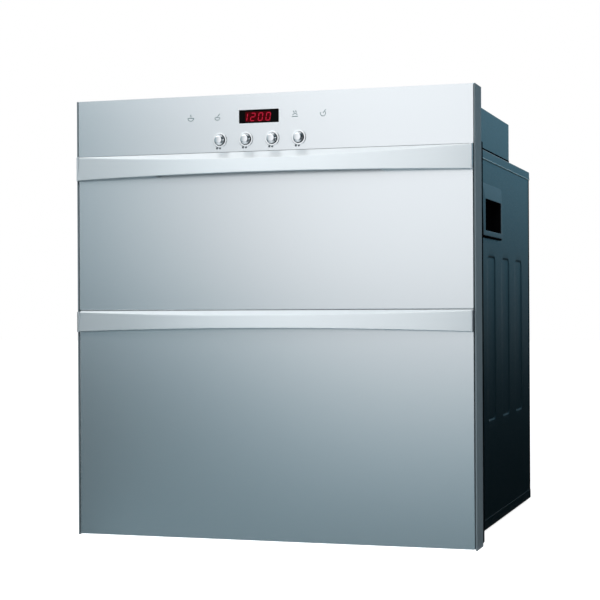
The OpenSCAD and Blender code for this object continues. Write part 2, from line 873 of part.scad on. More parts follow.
// A bow of six-sided sections along X: it stands out most in the middle, where its
// top edge falls and its lower edge rises
module bow(half, half_full, z0, z1, thinner, fall, rise) {
  function swell(x) = 1 - pow(x / half_full, 2);
  function out(x) = handle_end_out + (handle_out - handle_end_out) * swell(x) - thinner;
  function section(x) = [
    [x, front_y, z0],
    [x, front_y, z1],
    [x, front_y - out(x) + handle_chamfer, z1 - fall * swell(x)],
    [x, front_y - out(x), z1 - fall * swell(x) - handle_chamfer],
    [x, front_y - out(x), z0 + rise * swell(x) + handle_chamfer],
    [x, front_y - out(x) + handle_chamfer, z0 + rise * swell(x)]
  ];
  n = handle_steps;
  points = [for (i = [0 : n]) each section(-half + 2 * half * i / n)];
  faces = concat(
    [[0, 1, 2, 3, 4, 5]],
    [for (i = [0 : n - 1], k = [0 : 5])
      each let (a = i * 6 + k, b = i * 6 + (k + 1) % 6) [[a, b + 6, b], [a, a + 6, b + 6]]],
    [[for (k = [5 : -1 : 0]) n * 6 + k]]
  );
  polyhedron(points = points, faces = faces, convexity = 4);
}

// Handle: bow-shaped bar along a drawer's top edge, hollow behind for the fingers
module handle(top) {
  half = inner_x - cap_t;
  color("lightsteelblue") difference() {
    bow(half, inner_x, top - handle_h, top, 0, handle_top_fall, handle_low_rise);
    translate([0, snug, 0])
      bow(pocket_w / 2, inner_x, top - handle_h - 2 * handle_wall, top - handle_top_fall - handle_wall,
          handle_wall, 0, 0);
  }
}
module upper_handle() { handle(upper_front_z + upper_front_h); }
module lower_handle() { handle(lower_front_z + lower_front_h); }

// End caps of a handle
module handle_caps(top) {
  color("dimgray") both_sides()
    block([inner_x - cap_t, front_y - handle_end_out, top - handle_h], [inner_x, front_y, top]);
}
module upper_handle_caps() { handle_caps(upper_front_z + upper_front_h); }
module lower_handle_caps() { handle_caps(lower_front_z + lower_front_h); }

// Drawer frame: two side plates and a rear plate, with a ledge inside for the tray
module drawer_frame(cav_z) {
  z0 = cav_z + frame_up;
  z1 = z0 + frame_side_h;
  color("silver") difference() {
    block([-drawer_x, inner_back, z0], [drawer_x, rail_back, z1]);
    block([-drawer_x + frame_side_t, inner_back - over, z0 + frame_side_t],
          [drawer_x - frame_side_t, rail_back - frame_side_t, z1 + over]);
    block([-drawer_x + ledge_w, inner_back - over, z0 - over],
          [drawer_x - ledge_w, rail_back - ledge_w, z1 + over]);
  }
}
module upper_drawer_frame() { drawer_frame(upper_cav_z); }
module lower_drawer_frame() { drawer_frame(lower_cav_z); }

// Drip tray on the frame's ledge
module drip_tray(cav_z) {
  x = tray_x;
  y0 = inner_back + tray_play;
  y1 = rail_back - frame_side_t - tray_play;
  z0 = cav_z + frame_up + frame_side_t;
  color("whitesmoke") difference() {
    block([-x, y0, z0], [x, y1, z0 + tray_h]);
    block([-x + tray_t, y0 + tray_t, z0 + tray_t], [x - tray_t, y1 - tray_t, z0 + tray_h + over]);
  }
}
module upper_drip_tray() { drip_tray(upper_cav_z); }
module lower_drip_tray() { drip_tray(lower_cav_z); }

// Wire basket: cross wires that lie on the tray's rim, floor wires along Y over them, posts
// round the sides, two rims, and rows of pegs where plates stand
module basket(cav_z, h, pegs) {
  x = basket_x;
  y0 = basket_front;
  y1 = basket_back;
  z0 = cav_z + basket_floor_up;
  z1 = z0 + h;
  bite = wire_bite;
  r = wire_d / 2;
  x_rest = tray_x - tray_t / 2;
  floor_n = floor(2 * x / wire_pitch);
  cross_n = floor((y1 - y0) / cross_pitch);
  peg_n = floor(2 * x * peg_span_share / peg_pitch);
  $fn = wire_faces;
  color("silver") {
    for (i = [0 : floor_n])
      bar_y(-x + 2 * x * i / floor_n, y0, y1, z0 + bite, r);
    for (i = [0 : cross_n])
      bar_x(-x_rest, x_rest, y0 + (y1 - y0) * i / cross_n, z0, r);
    for (i = [0 : cross_n], sx = [-1, 1])
      bar_z(sx * (x + bite), y0 + (y1 - y0) * i / cross_n, z0 - r, z1, r);
    for (i = [1 : 2 : floor_n - 1], y = [y0 - bite, y1 + bite])
      bar_z(-x + 2 * x * i / floor_n, y, z0 + bite - r, z1, r);
    for (z = [z0 + h / 2, z1 - r]) {
      both_sides() bar_y(x, y0, y1, z, r);
      for (y = [y0, y1]) bar_x(-x - r, x + r, y, z, r);
    }
    if (pegs) for (share = peg_rows_y_shares) {
      y = y0 + (y1 - y0) * share;
      bar_x(-x_rest, x_rest, y, z0, r);
      for (i = [0 : peg_n])
        bar_z(x * peg_span_share * (2 * i / peg_n - 1), y + bite, z0 - r, z0 + peg_h, r);
    }
  }
}
module upper_basket() { basket(upper_cav_z, upper_basket_h, false); }
module lower_basket() { basket(lower_cav_z, lower_basket_h, true); }

front_frame();
side_trim_left();
side_trim_right();
side_panel_left();
side_panel_right();
grip_bezel_left();
grip_bezel_right();
back_panel();
top_cover();
base_pan();
base_glides();
control_box();
upper_liner();
lower_liner();
fascia_panel();
display_window();
display_module();
control_board();
tact_switches();
button_collars();
button_1();
button_2();
button_3();
button_4();
power_board();
transformer();
terminal_block();
ozone_generator();
cable_gland();
uv_lamp();
uv_lamp_holders();
uv_lamp_guard();
heater_block();
fan_housing();
fan_motor();
fan_impeller();
panel_screws();
upper_rails_fixed();
lower_rails_fixed();
upper_rails_mid();
lower_rails_mid();
upper_front();
upper_inner_panel();
upper_handle();
upper_handle_caps();
upper_seal();
upper_drawer_frame();
upper_rails_inner();
upper_drip_tray();
upper_basket();
lower_front();
lower_inner_panel();
lower_handle();
lower_handle_caps();
lower_seal();
lower_drawer_frame();
lower_rails_inner();
lower_drip_tray();
lower_basket();
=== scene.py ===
# %% [markdown]
# # A built-in dish dryer with two drawers
#
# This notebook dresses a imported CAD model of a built-in dish dryer: a painted steel
# cabinet behind a satin front, with a control fascia over two drawers. The CAD model is
# the frame. It fixes every size and place, and Blender adds finishes and finer surfaces.
# Everything is in metres, +Z is up, and the front faces -Y.

# %% Load the frame
import json
import math
import bmesh
import bpy
import numpy as np
from mathutils import Matrix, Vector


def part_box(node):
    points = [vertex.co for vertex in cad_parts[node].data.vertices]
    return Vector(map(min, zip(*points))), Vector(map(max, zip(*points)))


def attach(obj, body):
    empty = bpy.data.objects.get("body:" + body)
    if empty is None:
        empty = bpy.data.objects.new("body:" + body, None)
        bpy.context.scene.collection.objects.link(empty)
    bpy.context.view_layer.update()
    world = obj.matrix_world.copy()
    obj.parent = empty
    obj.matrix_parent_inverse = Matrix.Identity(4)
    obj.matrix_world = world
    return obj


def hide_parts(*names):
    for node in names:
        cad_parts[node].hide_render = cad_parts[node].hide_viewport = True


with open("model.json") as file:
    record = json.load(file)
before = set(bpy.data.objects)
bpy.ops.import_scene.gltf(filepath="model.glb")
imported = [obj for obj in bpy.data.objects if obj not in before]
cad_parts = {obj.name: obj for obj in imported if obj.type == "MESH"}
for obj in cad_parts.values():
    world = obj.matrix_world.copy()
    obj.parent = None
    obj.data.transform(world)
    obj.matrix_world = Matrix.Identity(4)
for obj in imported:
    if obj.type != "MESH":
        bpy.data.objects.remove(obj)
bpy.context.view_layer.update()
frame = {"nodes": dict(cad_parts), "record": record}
nodes, record = frame["nodes"], frame["record"]
body_of = {node: body for body, names in record["behaviour"]["bodies"].items() for node in names}

# %% [markdown]
# ## Measures from the frame
#
# A piece that stands for a CAD part takes its size from that part's box, so it still fits
# if the CAD model changes. `low` and `high` give the corners of a node at rest, and `mm`
# turns millimetres into metres for the few sizes that only Blender uses.

# %% Corners of a node


def mm(*values):
    """Millimetres as metres: one number, or an array of several."""
    return values[0] / 1000 if len(values) == 1 else np.array(values) / 1000


def low(node):
    """Lowest corner of a CAD node at rest."""
    return np.array(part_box(node)[0])


def high(node):
    """Highest corner of a CAD node at rest."""
    return np.array(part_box(node)[1])


front_y = low("upper_front")[1]
print("front face at y", round(float(front_y), 4))

# %% [markdown]
# ## Camera
#
# The view was matched by solving a camera on the corners of the front and of the cabinet.
# It stands 2.3 m away, a little to the right, level with the middle of the front. The
# small shift slides the picture sideways without turning the camera.

# %% Camera
CAMERA_AT = (0.7150, -2.2813, 0.3340)
AZIMUTH, ELEVATION, ROLL = np.radians([16.617, -0.065, -0.282])
FOCAL_PX, PICTURE_PX, SENSOR_MM = 1501.45, 600.0, 36.0
CENTRE_PX = (345.0, 305.65)


def camera_axes(azimuth, elevation, roll):
    """Columns right, up and back: the level camera's axes, rolled about the line of sight."""
    forward = np.array([-math.sin(azimuth) * math.cos(elevation),
                        math.cos(azimuth) * math.cos(elevation), -math.sin(elevation)])
    right = np.array([math.cos(azimuth), math.sin(azimuth), 0.0])
    up = np.cross(right, forward)
    return np.stack([right * math.cos(roll) + up * math.sin(roll),
                     up * math.cos(roll) - right * math.sin(roll), -forward], axis=1)


scene = bpy.context.scene
camera = bpy.data.objects.new("camera", bpy.data.cameras.new("camera"))
scene.collection.objects.link(camera)
stand = np.eye(4)
stand[:3, :3] = camera_axes(AZIMUTH, ELEVATION, ROLL)
stand[:3, 3] = CAMERA_AT
camera.matrix_world = Matrix(stand.tolist())
camera.data.sensor_width = SENSOR_MM
camera.data.lens = FOCAL_PX / PICTURE_PX * SENSOR_MM
camera.data.shift_x = (PICTURE_PX / 2 - CENTRE_PX[0]) / PICTURE_PX
camera.data.shift_y = (CENTRE_PX[1] - PICTURE_PX / 2) / PICTURE_PX
camera.data.clip_start, camera.data.clip_end = 0.05, 60.0
scene.camera = camera
shift = np.round([camera.data.shift_x, camera.data.shift_y], 4)
print("lens", round(camera.data.lens, 2), "mm, shift", shift.tolist())

# %% [markdown]
# ## From arrays to a mesh
#
# Every new piece is a grid of points worked out with numpy. A grid has rows and columns,
# and the quads between neighbours make its skin. Its columns usually close round, as the
# outline of a section does, and a face over the first and the last row shuts the shell.

# %% Faces of a grid


def grid_faces(rows, columns, wrap_rows=False, wrap_columns=True):
    """Corner numbers of the quads between neighbours of a grid; point (r, c) is number r * columns + c."""
    row = np.arange(rows if wrap_rows else rows - 1)[:, None]
    column = np.arange(columns if wrap_columns else columns - 1)[None, :]
    next_row, next_column = (row + 1) % rows, (column + 1) % columns
    corners = (row * columns + column, row * columns + next_column,
               next_row * columns + next_column, next_row * columns + column)
    return np.stack([np.broadcast_to(c, (row.size, column.size)) for c in corners], axis=-1).reshape(-1, 4)


def capped(grid):
    """A closed shell: the quads round a grid of rows, and one face over its first and over its last row."""
    rows, columns = grid.shape[:2]
    rim = np.arange(columns)[None]
    return grid.reshape(-1, 3), [grid_faces(rows, columns), rim[:, ::-1], rim + (rows - 1) * columns]


def hooped(grid):
    """A closed ring: the quads of a grid that wraps round both ways."""
    return grid.reshape(-1, 3), [grid_faces(*grid.shape[:2], wrap_rows=True)]


# %% [markdown]
# A piece is often several shells, such as the wires of a basket. They are stacked in one
# mesh. `recalc_face_normals` then turns every shell's faces outwards, and edges sharper
# than a limit stay crisp while the rest is shaded smooth.

# %% Stack shells into one piece


def mesh_of(name, shells, outwards=True):
    """One mesh from (points, faces) shells: a shell's corner numbers are raised by the points before it."""
    starts = np.cumsum([0] + [len(points) for points, _ in shells])
    faces = [rows + start for (_, arrays), start in zip(shells, starts) for rows in arrays]
    corners = np.concatenate([rows.ravel() for rows in faces])
    sizes = np.concatenate([np.full(len(rows), rows.shape[1]) for rows in faces])
    mesh = bpy.data.meshes.new(name)
    mesh.vertices.add(int(starts[-1]))
    mesh.vertices.foreach_set("co", np.concatenate([points for points, _ in shells]).ravel())
    mesh.loops.add(len(corners))
    mesh.loops.foreach_set("vertex_index", corners)
    mesh.polygons.add(len(sizes))
    mesh.polygons.foreach_set("loop_start", np.cumsum(sizes) - sizes)
    mesh.update(calc_edges=True)
    mesh.validate()
    if outwards:
        work = bmesh.new()
        work.from_mesh(mesh)
        bmesh.ops.recalc_face_normals(work, faces=work.faces)
        work.to_mesh(mesh)
        work.free()
    return mesh


def seat(name, mesh, finish, stands_for, body=None, slot=None, sharp=38.0):
    """Puts a mesh in the scene as a piece: it rides on the body of the nodes that it stands for."""
    mesh.shade_smooth()
    mesh.set_sharp_from_angle(angle=math.radians(sharp))
    piece = bpy.data.objects.new(name, mesh)
    scene.collection.objects.link(piece)
    mesh.materials.append(finish)
    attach(piece, body or body_of[stands_for[0]])
    if stands_for:
        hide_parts(*stands_for)
    return piece


def add_piece(name, shells, finish, *stands_for, **place):
    """A new piece from shells, in place of the CAD nodes that it stands for.

    A corner's normal is the mean of its faces' normals, by area, so a large flat face stays flat
    up to the round rim beside it.
    """
    piece = seat(name, mesh_of(name, shells), finish, stands_for, **place)
    piece.modifiers.new("flat faces", "WEIGHTED_NORMAL").keep_sharp = True
    print(name, len(piece.data.polygons), "faces")
    return piece


# %% [markdown]
# ## Outlines and sections
#
# Most of the pieces are a flat outline carried along an axis. While it is carried, the
# outline is drawn in along its own normals, and a quarter turn of that makes a rounded
# rim. Only a piece with no edge at all looks like a computer drawing, so every rim is
# rounded a little.

# %% Outlines
ALONG = {"x": (1, 2, 0), "y": (0, 2, 1), "z": (0, 1, 2)}


def place(across, up, depth, axis):
    """XYZ from two coordinates across an axis and the depth along it."""
    points = np.empty(np.broadcast(across, up, depth).shape + (3,))
    for value, index in zip((across, up, depth), ALONG[axis]):
        points[..., index] = value
    return points


def outline(corners, radius, steps=3):
    """Closed polygons with rounded corners, as (points, outward normals), counter-clockwise.

    At a corner the normal turns from that of the edge before to that of the edge after. The arc's
    centre lies inside an outer corner and outside an inner one, at radius along the sum of both
    normals. Corners may be one polygon, or an array of them, one for each section of a piece.
    """
    corners = np.asarray(corners, dtype=float)
    before = corners - np.roll(corners, 1, axis=-2)
    after = np.roll(before, -1, axis=-2)
    first, second = (np.stack([d[..., 1], -d[..., 0]], axis=-1) / np.linalg.norm(d, axis=-1, keepdims=True)
                     for d in (before, after))
    cross = before[..., 0] * after[..., 1] - before[..., 1] * after[..., 0]
    turn = np.arctan2(cross, (before * after).sum(axis=-1))
    reach = np.sign(np.round(turn, 6)) * radius
    overlap = 1 + (first * second).sum(axis=-1, keepdims=True)
    centre = corners - reach[..., None] * (first + second) / overlap
    angle = (np.arctan2(first[..., 1], first[..., 0])[..., None]
             + turn[..., None] * np.linspace(0, 1, steps + 1))
    normal = np.stack([np.cos(angle), np.sin(angle)], axis=-1)
    points = centre[..., None, :] + reach[..., None, None] * normal
    flat = corners.shape[:-2] + (-1, 2)
    return points.reshape(flat), normal.reshape(flat)


def box_outline(low_corner, high_corner, radius, steps=3):
    """A rectangle's outline with round corners, from its lowest to its highest corner."""
    (u0, v0), (u1, v1) = low_corner, high_corner
    return outline([(u0, v0), (u1, v0), (u1, v1), (u0, v1)], radius, steps)


def carried(shape, rows, axis):
    """Carries an outline along an axis: row by row it is set in along its normals and moved to a depth."""
    (points, normals), (inset, depth) = shape, np.array(rows).T
    flat = points[None] - inset[:, None, None] * normals[None]
    return place(flat[..., 0], flat[..., 1], depth[:, None], axis)


def round_rims(near, far, radius, steps=3):
    """(inset, depth) rows from near to far, with a quarter round of a radius at both rims."""
    turn = np.linspace(0, math.pi / 2, steps + 1)
    way = math.copysign(1, far - near)
    inset, depth = radius * (1 - np.sin(turn)), way * radius * (1 - np.cos(turn))
    rims = np.stack([inset, near + depth], axis=1), np.stack([inset, far - depth], axis=1)[::-1]
    return np.concatenate(rims)


def soft_box(low_corner, high_corner, radius, axis="y", steps=3):
    """A box with every edge rounded: its outline across an axis, carried along it with round rims."""
    low_corner, high_corner = np.asarray(low_corner), np.asarray(high_corner)
    across, up, depth = ALONG[axis]
    shape = box_outline(low_corner[[across, up]], high_corner[[across, up]], radius, steps)
    return capped(carried(shape, round_rims(low_corner[depth], high_corner[depth], radius, steps), axis))


def circled(profile, centre, axis, steps):
    """A grid of circles round an axis: one row for each (radius, depth) of the profile."""
    radius, depth = np.array(profile, dtype=float).T[:, :, None]
    angle = np.linspace(0, 2 * math.pi, steps, endpoint=False)
    return place(centre[0] + radius * np.cos(angle), centre[1] + radius * np.sin(angle), depth, axis)


def turned(profile, centre, axis, steps=48):
    """A turned body, closed by a flat face at both ends of its profile."""
    return capped(circled(profile, centre, axis, steps))


def bars(starts, ends, radius, sides=8):
    """Straight round bars with domed ends, all in one shell.

    Round the line from start to end lie circles in the plane across it. Near an end they shrink by
    the sine of an angle and move by one minus its cosine, as on a half sphere.
    """
    starts, ends = np.atleast_2d(starts).astype(float), np.atleast_2d(ends).astype(float)
    along = ends - starts
    length = np.linalg.norm(along, axis=1, keepdims=True)
    along = along / length
    helper = np.where(np.abs(along[:, 2:]) > 0.9, [[1.0, 0.0, 0.0]], [[0.0, 0.0, 1.0]])
    u = np.cross(along, helper)
    u /= np.linalg.norm(u, axis=1, keepdims=True)
    v = np.cross(along, u)
    dome = np.radians([25.0, 55.0, 90.0])
    width = radius * np.concatenate([np.sin(dome), np.sin(dome)[::-1]])
    step = radius * (1 - np.cos(dome))
    depth = np.concatenate([np.broadcast_to(step, (len(length), 3)), length - step[::-1]], axis=1)
    angle = np.linspace(0, 2 * math.pi, sides, endpoint=False)
    circle = (u[:, None, None] * np.cos(angle)[None, None, :, None]
              + v[:, None, None] * np.sin(angle)[None, None, :, None])
    grid = (starts[:, None, None] + along[:, None, None] * depth[:, :, None, None]
            + circle * width[None, :, None, None])
    rows = grid.shape[1]
    number = (np.arange(len(starts)) * rows * sides)[:, None, None]
    rim = np.arange(sides)[None, None]
    faces = [grid_faces(rows, sides)[None] + number, rim[..., ::-1] + number,
             rim + number + (rows - 1) * sides]
    return grid.reshape(-1, 3), [block.reshape(-1, block.shape[-1]) for block in faces]


def hoop(shape, radius, depth, axis, sides=8):
    """A round wire bent along an outline: a circle of the outline's inset and depth, wrapped both ways."""
    angle = np.linspace(0, 2 * math.pi, sides, endpoint=False)
    rows = np.stack([-radius * np.cos(angle), depth + radius * np.sin(angle)], axis=1)
    return hooped(carried(shape, rows, axis))


# %% [markdown]
# ## Finishes
#
# Every surface is built from the same few nodes. A fine noise moves the roughness and a
# slight bump, and a broad one shifts the colour a little, as handling and rolling do.
# Stretching the fine noise along one axis turns it into brushed grain. The noise reads
# Object coordinates, so it sits in the material and not on the camera. A finish without
# grain has its roughness on the shader's own socket.

# %% A finish from noise


def finish(name, colour, rough, metal=0.0, grain=(900.0, 900.0, 900.0), blotch=6.0, spread=0.04,
           rough_spread=0.08, bump=0.03, depth=mm(0.05), **sockets):
    """A principled material: fine noise drives roughness and bump, broad noise shades the colour."""
    material = bpy.data.materials.new(name)
    material.use_nodes = True
    material.diffuse_color = (*colour, 1.0)
    tree = material.node_tree
    shader = tree.nodes["Principled BSDF"]

    def node(kind, **inputs):
        made = tree.nodes.new(kind)
        for key, value in inputs.items():
            made.inputs[key.replace("_", " ")].default_value = value
        return made

    where = node("ShaderNodeTexCoord")
    stretch = node("ShaderNodeMapping", Scale=grain)
    fine = node("ShaderNodeTexNoise", Scale=1.0, Detail=3.0, Roughness=0.6)
    broad = node("ShaderNodeTexNoise", Scale=blotch, Detail=2.0)
    tree.links.new(where.outputs["Object"], stretch.inputs["Vector"])
    tree.links.new(stretch.outputs["Vector"], fine.inputs["Vector"])
    tree.links.new(where.outputs["Object"], broad.inputs["Vector"])
    shade = node("ShaderNodeMapRange", To_Min=1 - spread, To_Max=1 + spread)
    tree.links.new(broad.outputs["Fac"], shade.inputs["Value"])
    tint = tree.nodes.new("ShaderNodeMix")
    tint.data_type, tint.blend_type = "RGBA", "MULTIPLY"
    tint.inputs[0].default_value = 1.0
    tint.inputs[6].default_value = (*colour, 1.0)
    tree.links.new(shade.outputs["Result"], tint.inputs[7])
    tree.links.new(tint.outputs[2], shader.inputs["Base Color"])
    shader.inputs["Roughness"].default_value = rough
    if rough_spread:
        gloss = node("ShaderNodeMapRange", To_Min=max(rough - rough_spread, 0.02),
                     To_Max=min(rough + rough_spread, 1.0))
        tree.links.new(fine.outputs["Fac"], gloss.inputs["Value"])
        tree.links.new(gloss.outputs["Result"], shader.inputs["Roughness"])
    if bump:
        relief = node("ShaderNodeBump", Strength=bump, Distance=depth)
        tree.links.new(fine.outputs["Fac"], relief.inputs["Height"])
        tree.links.new(relief.outputs["Normal"], shader.inputs["Normal"])
    shader.inputs["Metallic"].default_value = metal
    for key, value in sockets.items():
        shader.inputs[key.replace("_", " ")].default_value = value
    return material

# %% [markdown]
# The satin fronts are rolled so finely that no grain shows, and only the broad noise is
# left on them. The handles are brushed aluminium, whose noise is stretched along X. Fine
# lines spread a reflection across themselves, so this shine is anisotropic, and a UV map
# that each handle brings tells it which way is up the face. The cabinet is sprayed steel,
# whose paint has a soft orange-peel relief and little shine. Bright rolled stainless lines
# the cavities.

# %% Finishes of the front and the cabinet
SIDEWAYS = (12.0, 900.0, 2200.0)
satin = finish("satin_front", (0.80, 0.825, 0.845), 0.27, metal=0.95, blotch=3.0, spread=0.012,
               rough_spread=0.0, bump=0.0)
brushed = finish("handle_aluminium", (0.90, 0.925, 0.94), 0.44, metal=0.95, grain=SIDEWAYS, blotch=5.0,
                 spread=0.02, rough_spread=0.05, bump=0.03, Anisotropic=0.83)
tree = brushed.node_tree
upwards = tree.nodes.new("ShaderNodeTangent")
upwards.direction_type, upwards.uv_map = "UV_MAP", "section"
tree.links.new(upwards.outputs["Tangent"], tree.nodes["Principled BSDF"].inputs["Tangent"])
cap_grey = finish("handle_cap", (0.78, 0.81, 0.83), 0.40, metal=0.9, spread=0.03)
strip_grey = finish("dark_trim", (0.170, 0.215, 0.240), 0.55, grain=(900.0, 900.0, 30.0), spread=0.06,
                    bump=0.06, Specular_IOR_Level=0.03)
paint = finish("painted_cabinet", (0.004, 0.011, 0.015), 0.42, grain=(420.0, 420.0, 420.0), blotch=4.0,
               spread=0.05, bump=0.10, depth=mm(0.1), Specular_IOR_Level=0.4)
grip_paint = finish("grip_moulding", (0.028, 0.036, 0.044), 0.45, grain=(700.0, 700.0, 700.0), spread=0.06,
                    bump=0.10)
frame_grey = finish("frame_steel", (0.10, 0.12, 0.14), 0.45, grain=(420.0, 420.0, 420.0), bump=0.08,
                    depth=mm(0.1))
zinc = finish("zinc_sheet", (0.60, 0.62, 0.64), 0.38, metal=0.9, grain=(70.0, 70.0, 70.0), blotch=45.0,
              spread=0.10, rough_spread=0.12)
stainless = finish("stainless", (0.72, 0.73, 0.74), 0.26, metal=1.0, grain=SIDEWAYS, blotch=5.0, spread=0.02,
                   rough_spread=0.07, bump=0.10)
print("finishes so far", len(bpy.data.materials))

# %% [markdown]
# Mouldings, chrome, rubber and the electrical pieces follow the same recipe. Chrome and
# glass are nearly smooth, rubber and moulded plastic are matt, and the circuit board has a
# glossy green lacquer. Two finishes are painted light: a black that sends back next to no
# light, used as painted shade in gaps, holes and shadow lines and for the rear corner
# strips, and a lighter paint on a folded edge's hem bead, as a painted highlight.

# %% Finishes of the smaller pieces
black = finish("black_moulding", (0.018, 0.020, 0.023), 0.50, grain=(1600.0, 1600.0, 1600.0), spread=0.08,
               bump=0.15)
shade_black = finish("shade_black", (0.0020, 0.0022, 0.0026), 0.90, spread=0.08, bump=0.05,
                     Specular_IOR_Level=0.0)
# Much lighter than the cabinet's paint: a painted highlight along the hem bead.
hem_highlight = finish("hem_highlight", (0.20, 0.30, 0.33), 0.35, spread=0.05, bump=0.02, Specular_IOR_Level=0.5)
chrome = finish("chrome", (0.82, 0.84, 0.86), 0.06, metal=1.0, spread=0.01, rough_spread=0.03, bump=0.004)
collar_metal = finish("collar_satin", (0.90, 0.915, 0.93), 0.22, metal=0.9, spread=0.01, rough_spread=0.04)
lens_black = finish("display_lens", (0.002, 0.002, 0.002), 0.10, spread=0.02, rough_spread=0.03, bump=0.004,
                    Specular_IOR_Level=0.04)
digit_red = finish("digit_glow", (0.04, 0.001, 0.002), 0.4, spread=0.04, bump=0.01, Specular_IOR_Level=0.04,
                   Emission_Color=(0.52, 0.014, 0.045, 1.0), Emission_Strength=1.0)
digit_dim = finish("digit_unlit", (0.01, 0.0, 0.0), 0.35, spread=0.04, bump=0.01, Specular_IOR_Level=0.04,
                   Emission_Color=(0.045, 0.0, 0.001, 1.0), Emission_Strength=1.0)
digit_block = finish("digit_block", (0.10, 0.012, 0.014), 0.35, spread=0.05)
print_green = finish("printed_marks", (0.12, 0.20, 0.21), 0.55, spread=0.04, bump=0.01)
print_dark = finish("printed_points", (0.10, 0.12, 0.13), 0.55, spread=0.04, bump=0.01)
board_green = finish("board_green", (0.015, 0.14, 0.055), 0.25, grain=(300.0, 300.0, 300.0), blotch=120.0,
                     spread=0.25)
copper = finish("transformer_core", (0.42, 0.24, 0.10), 0.45, metal=0.5, grain=(30.0, 1800.0, 30.0),
                spread=0.08, bump=0.3)
white_part = finish("white_moulding", (0.78, 0.78, 0.76), 0.42, spread=0.02)
quartz = finish("lamp_glass", (0.80, 0.86, 0.92), 0.05, spread=0.01, rough_spread=0.02, bump=0.0,
                Transmission_Weight=0.65, IOR=1.46)
fin_metal = finish("heater_fins", (0.66, 0.67, 0.68), 0.36, metal=1.0, grain=(600.0, 600.0, 40.0), bump=0.06)
can_steel = finish("motor_steel", (0.50, 0.51, 0.53), 0.30, metal=1.0, spread=0.04)
fan_black = finish("fan_plastic", (0.022, 0.023, 0.025), 0.40, spread=0.06, bump=0.08)
runner = finish("runner_steel", (0.62, 0.65, 0.68), 0.28, metal=1.0, grain=(300.0, 14.0, 300.0), spread=0.04,
                rough_spread=0.10, bump=0.06)
screw_steel = finish("screw_steel", (0.62, 0.63, 0.65), 0.30, metal=1.0, spread=0.05)
# Dark grey bars for the cross in a screw head: the painted shade of its recess.
cross_shade = finish("screw_cross_shade", (0.05, 0.05, 0.055), 0.6, spread=0.05)
rubber = finish("seal_rubber", (0.16, 0.17, 0.18), 0.62, grain=(1200.0, 1200.0, 1200.0), spread=0.05,
                bump=0.08)
wire_chrome = finish("basket_wire", (0.78, 0.80, 0.81), 0.12, metal=1.0, grain=(400.0, 400.0, 400.0),
                     spread=0.02, rough_spread=0.05, bump=0.01)
print("finishes", len(bpy.data.materials))

# %% [markdown]
# ## Handles
#
# Each handle is a bar that bows outwards: it stands out least at its ends and most in the
# middle, where its top edge also slopes down and its lower edge rises. Its face leans back
# a little, towards the light. A finger pocket is open from below along its middle. The
# section is a six-cornered outline for each place along the bar. Where the bar is solid,
# two of its corners lie flat on the back; where it is hollow they climb into the pocket.
# Two sections at the same place make the pocket's end.
#
# The six sizes of a handle are: how far its top and its foot stand above the CAD model's,
# the fall of its top edge at the ends and in the middle, the rise of its lower edge in the
# middle, and the lean of its face.

# %% Handle
LEVELS = ("upper", "lower")
POCKET_HALF, HANDLE_WALL, HANDLE_END_OUT = mm(170, 4, 8)
HANDLE_SHAPES = {"upper": mm(0.8, -2.2, 0.3, 11.5, 3.9, 2.2), "lower": mm(0.0, 1.5, 1.5, 7.0, 5.3, 2.4)}
UNDER_SLOPE_SHARE = 0.25
SOLID_CORNERS, POCKET_CORNERS = mm(0.3, 1.6, 1.2, 0.0, 0.3, 0.0), mm(0.3, 1.6, 1.2, 1.0, 2.0, 0.3)


def bow_sections(stand, hollow, along, full, foot, top, out, edge_fall, top_fall, low_rise, lean):
    """Corners (y, z) of the handle at each place along it; the swell is 1 - (x / half length) squared."""
    swell = 1 - (along / full) ** 2
    front = stand - HANDLE_END_OUT - (out - HANDLE_END_OUT) * swell
    ceiling = top - top_fall - HANDLE_WALL
    inside = front + HANDLE_WALL
    slope = UNDER_SLOPE_SHARE * low_rise * swell / (stand - front)
    wall_foot = foot + low_rise * swell - slope * HANDLE_WALL
    back_foot = foot + (1 - UNDER_SLOPE_SHARE) * low_rise * swell
    corners = np.empty(along.shape + (6, 2))
    corners[:, 0] = (stand, top)
    corners[:, 1] = np.stack([front + lean, top - edge_fall - (top_fall - edge_fall) * swell], axis=1)
    corners[:, 2] = np.stack([front, foot + low_rise * swell], axis=1)
    corners[:, 3] = np.stack([inside, wall_foot], axis=1)
    corners[:, 4] = np.where(hollow[:, None], np.stack([inside, np.full_like(along, ceiling)], axis=1),
                             np.stack([np.full_like(along, stand), back_foot], axis=1))
    corners[:, 5] = (stand, ceiling)
    return corners


def handle(level):
    """The bow-shaped bar of one drawer, hollow between the pocket's ends; u of its map grows up its face."""
    node = level + "_handle"
    raise_top, raise_foot, *falls = HANDLE_SHAPES[level]
    half, top, foot = high(node)[0], high(node)[2] + raise_top, low(node)[2] + raise_foot
    full, out = high(level + "_handle_caps")[0], front_y - low(node)[1]
    zones = [(-half, -POCKET_HALF, 24), (-POCKET_HALF, POCKET_HALF, 64), (POCKET_HALF, half, 24)]
    along = np.concatenate([np.linspace(*zone) for zone in zones])
    hollow = np.repeat([False, True, False], [zone[2] for zone in zones])
    corners = bow_sections(front_y, hollow, along, full, foot, top, out, *falls)
    radius = np.where(hollow[:, None], POCKET_CORNERS, SOLID_CORNERS)
    section = outline(corners, radius, steps=4)[0]
    grid = place(section[..., 0], section[..., 1], along[:, None], "x")
    bar = add_piece(node + "_bar", [capped(grid)], brushed, node)
    points, corner = np.empty(len(bar.data.vertices) * 3), np.empty(len(bar.data.loops), dtype=np.int32)
    bar.data.vertices.foreach_get("co", points)
    bar.data.loops.foreach_get("vertex_index", corner)
    x, y, z = points.reshape(-1, 3)[corner].T
    bar.data.uv_layers.new(name="section").data.foreach_set("uv", np.stack([y + z, x], axis=1).ravel())
    return bar


for level in LEVELS:
    handle(level)
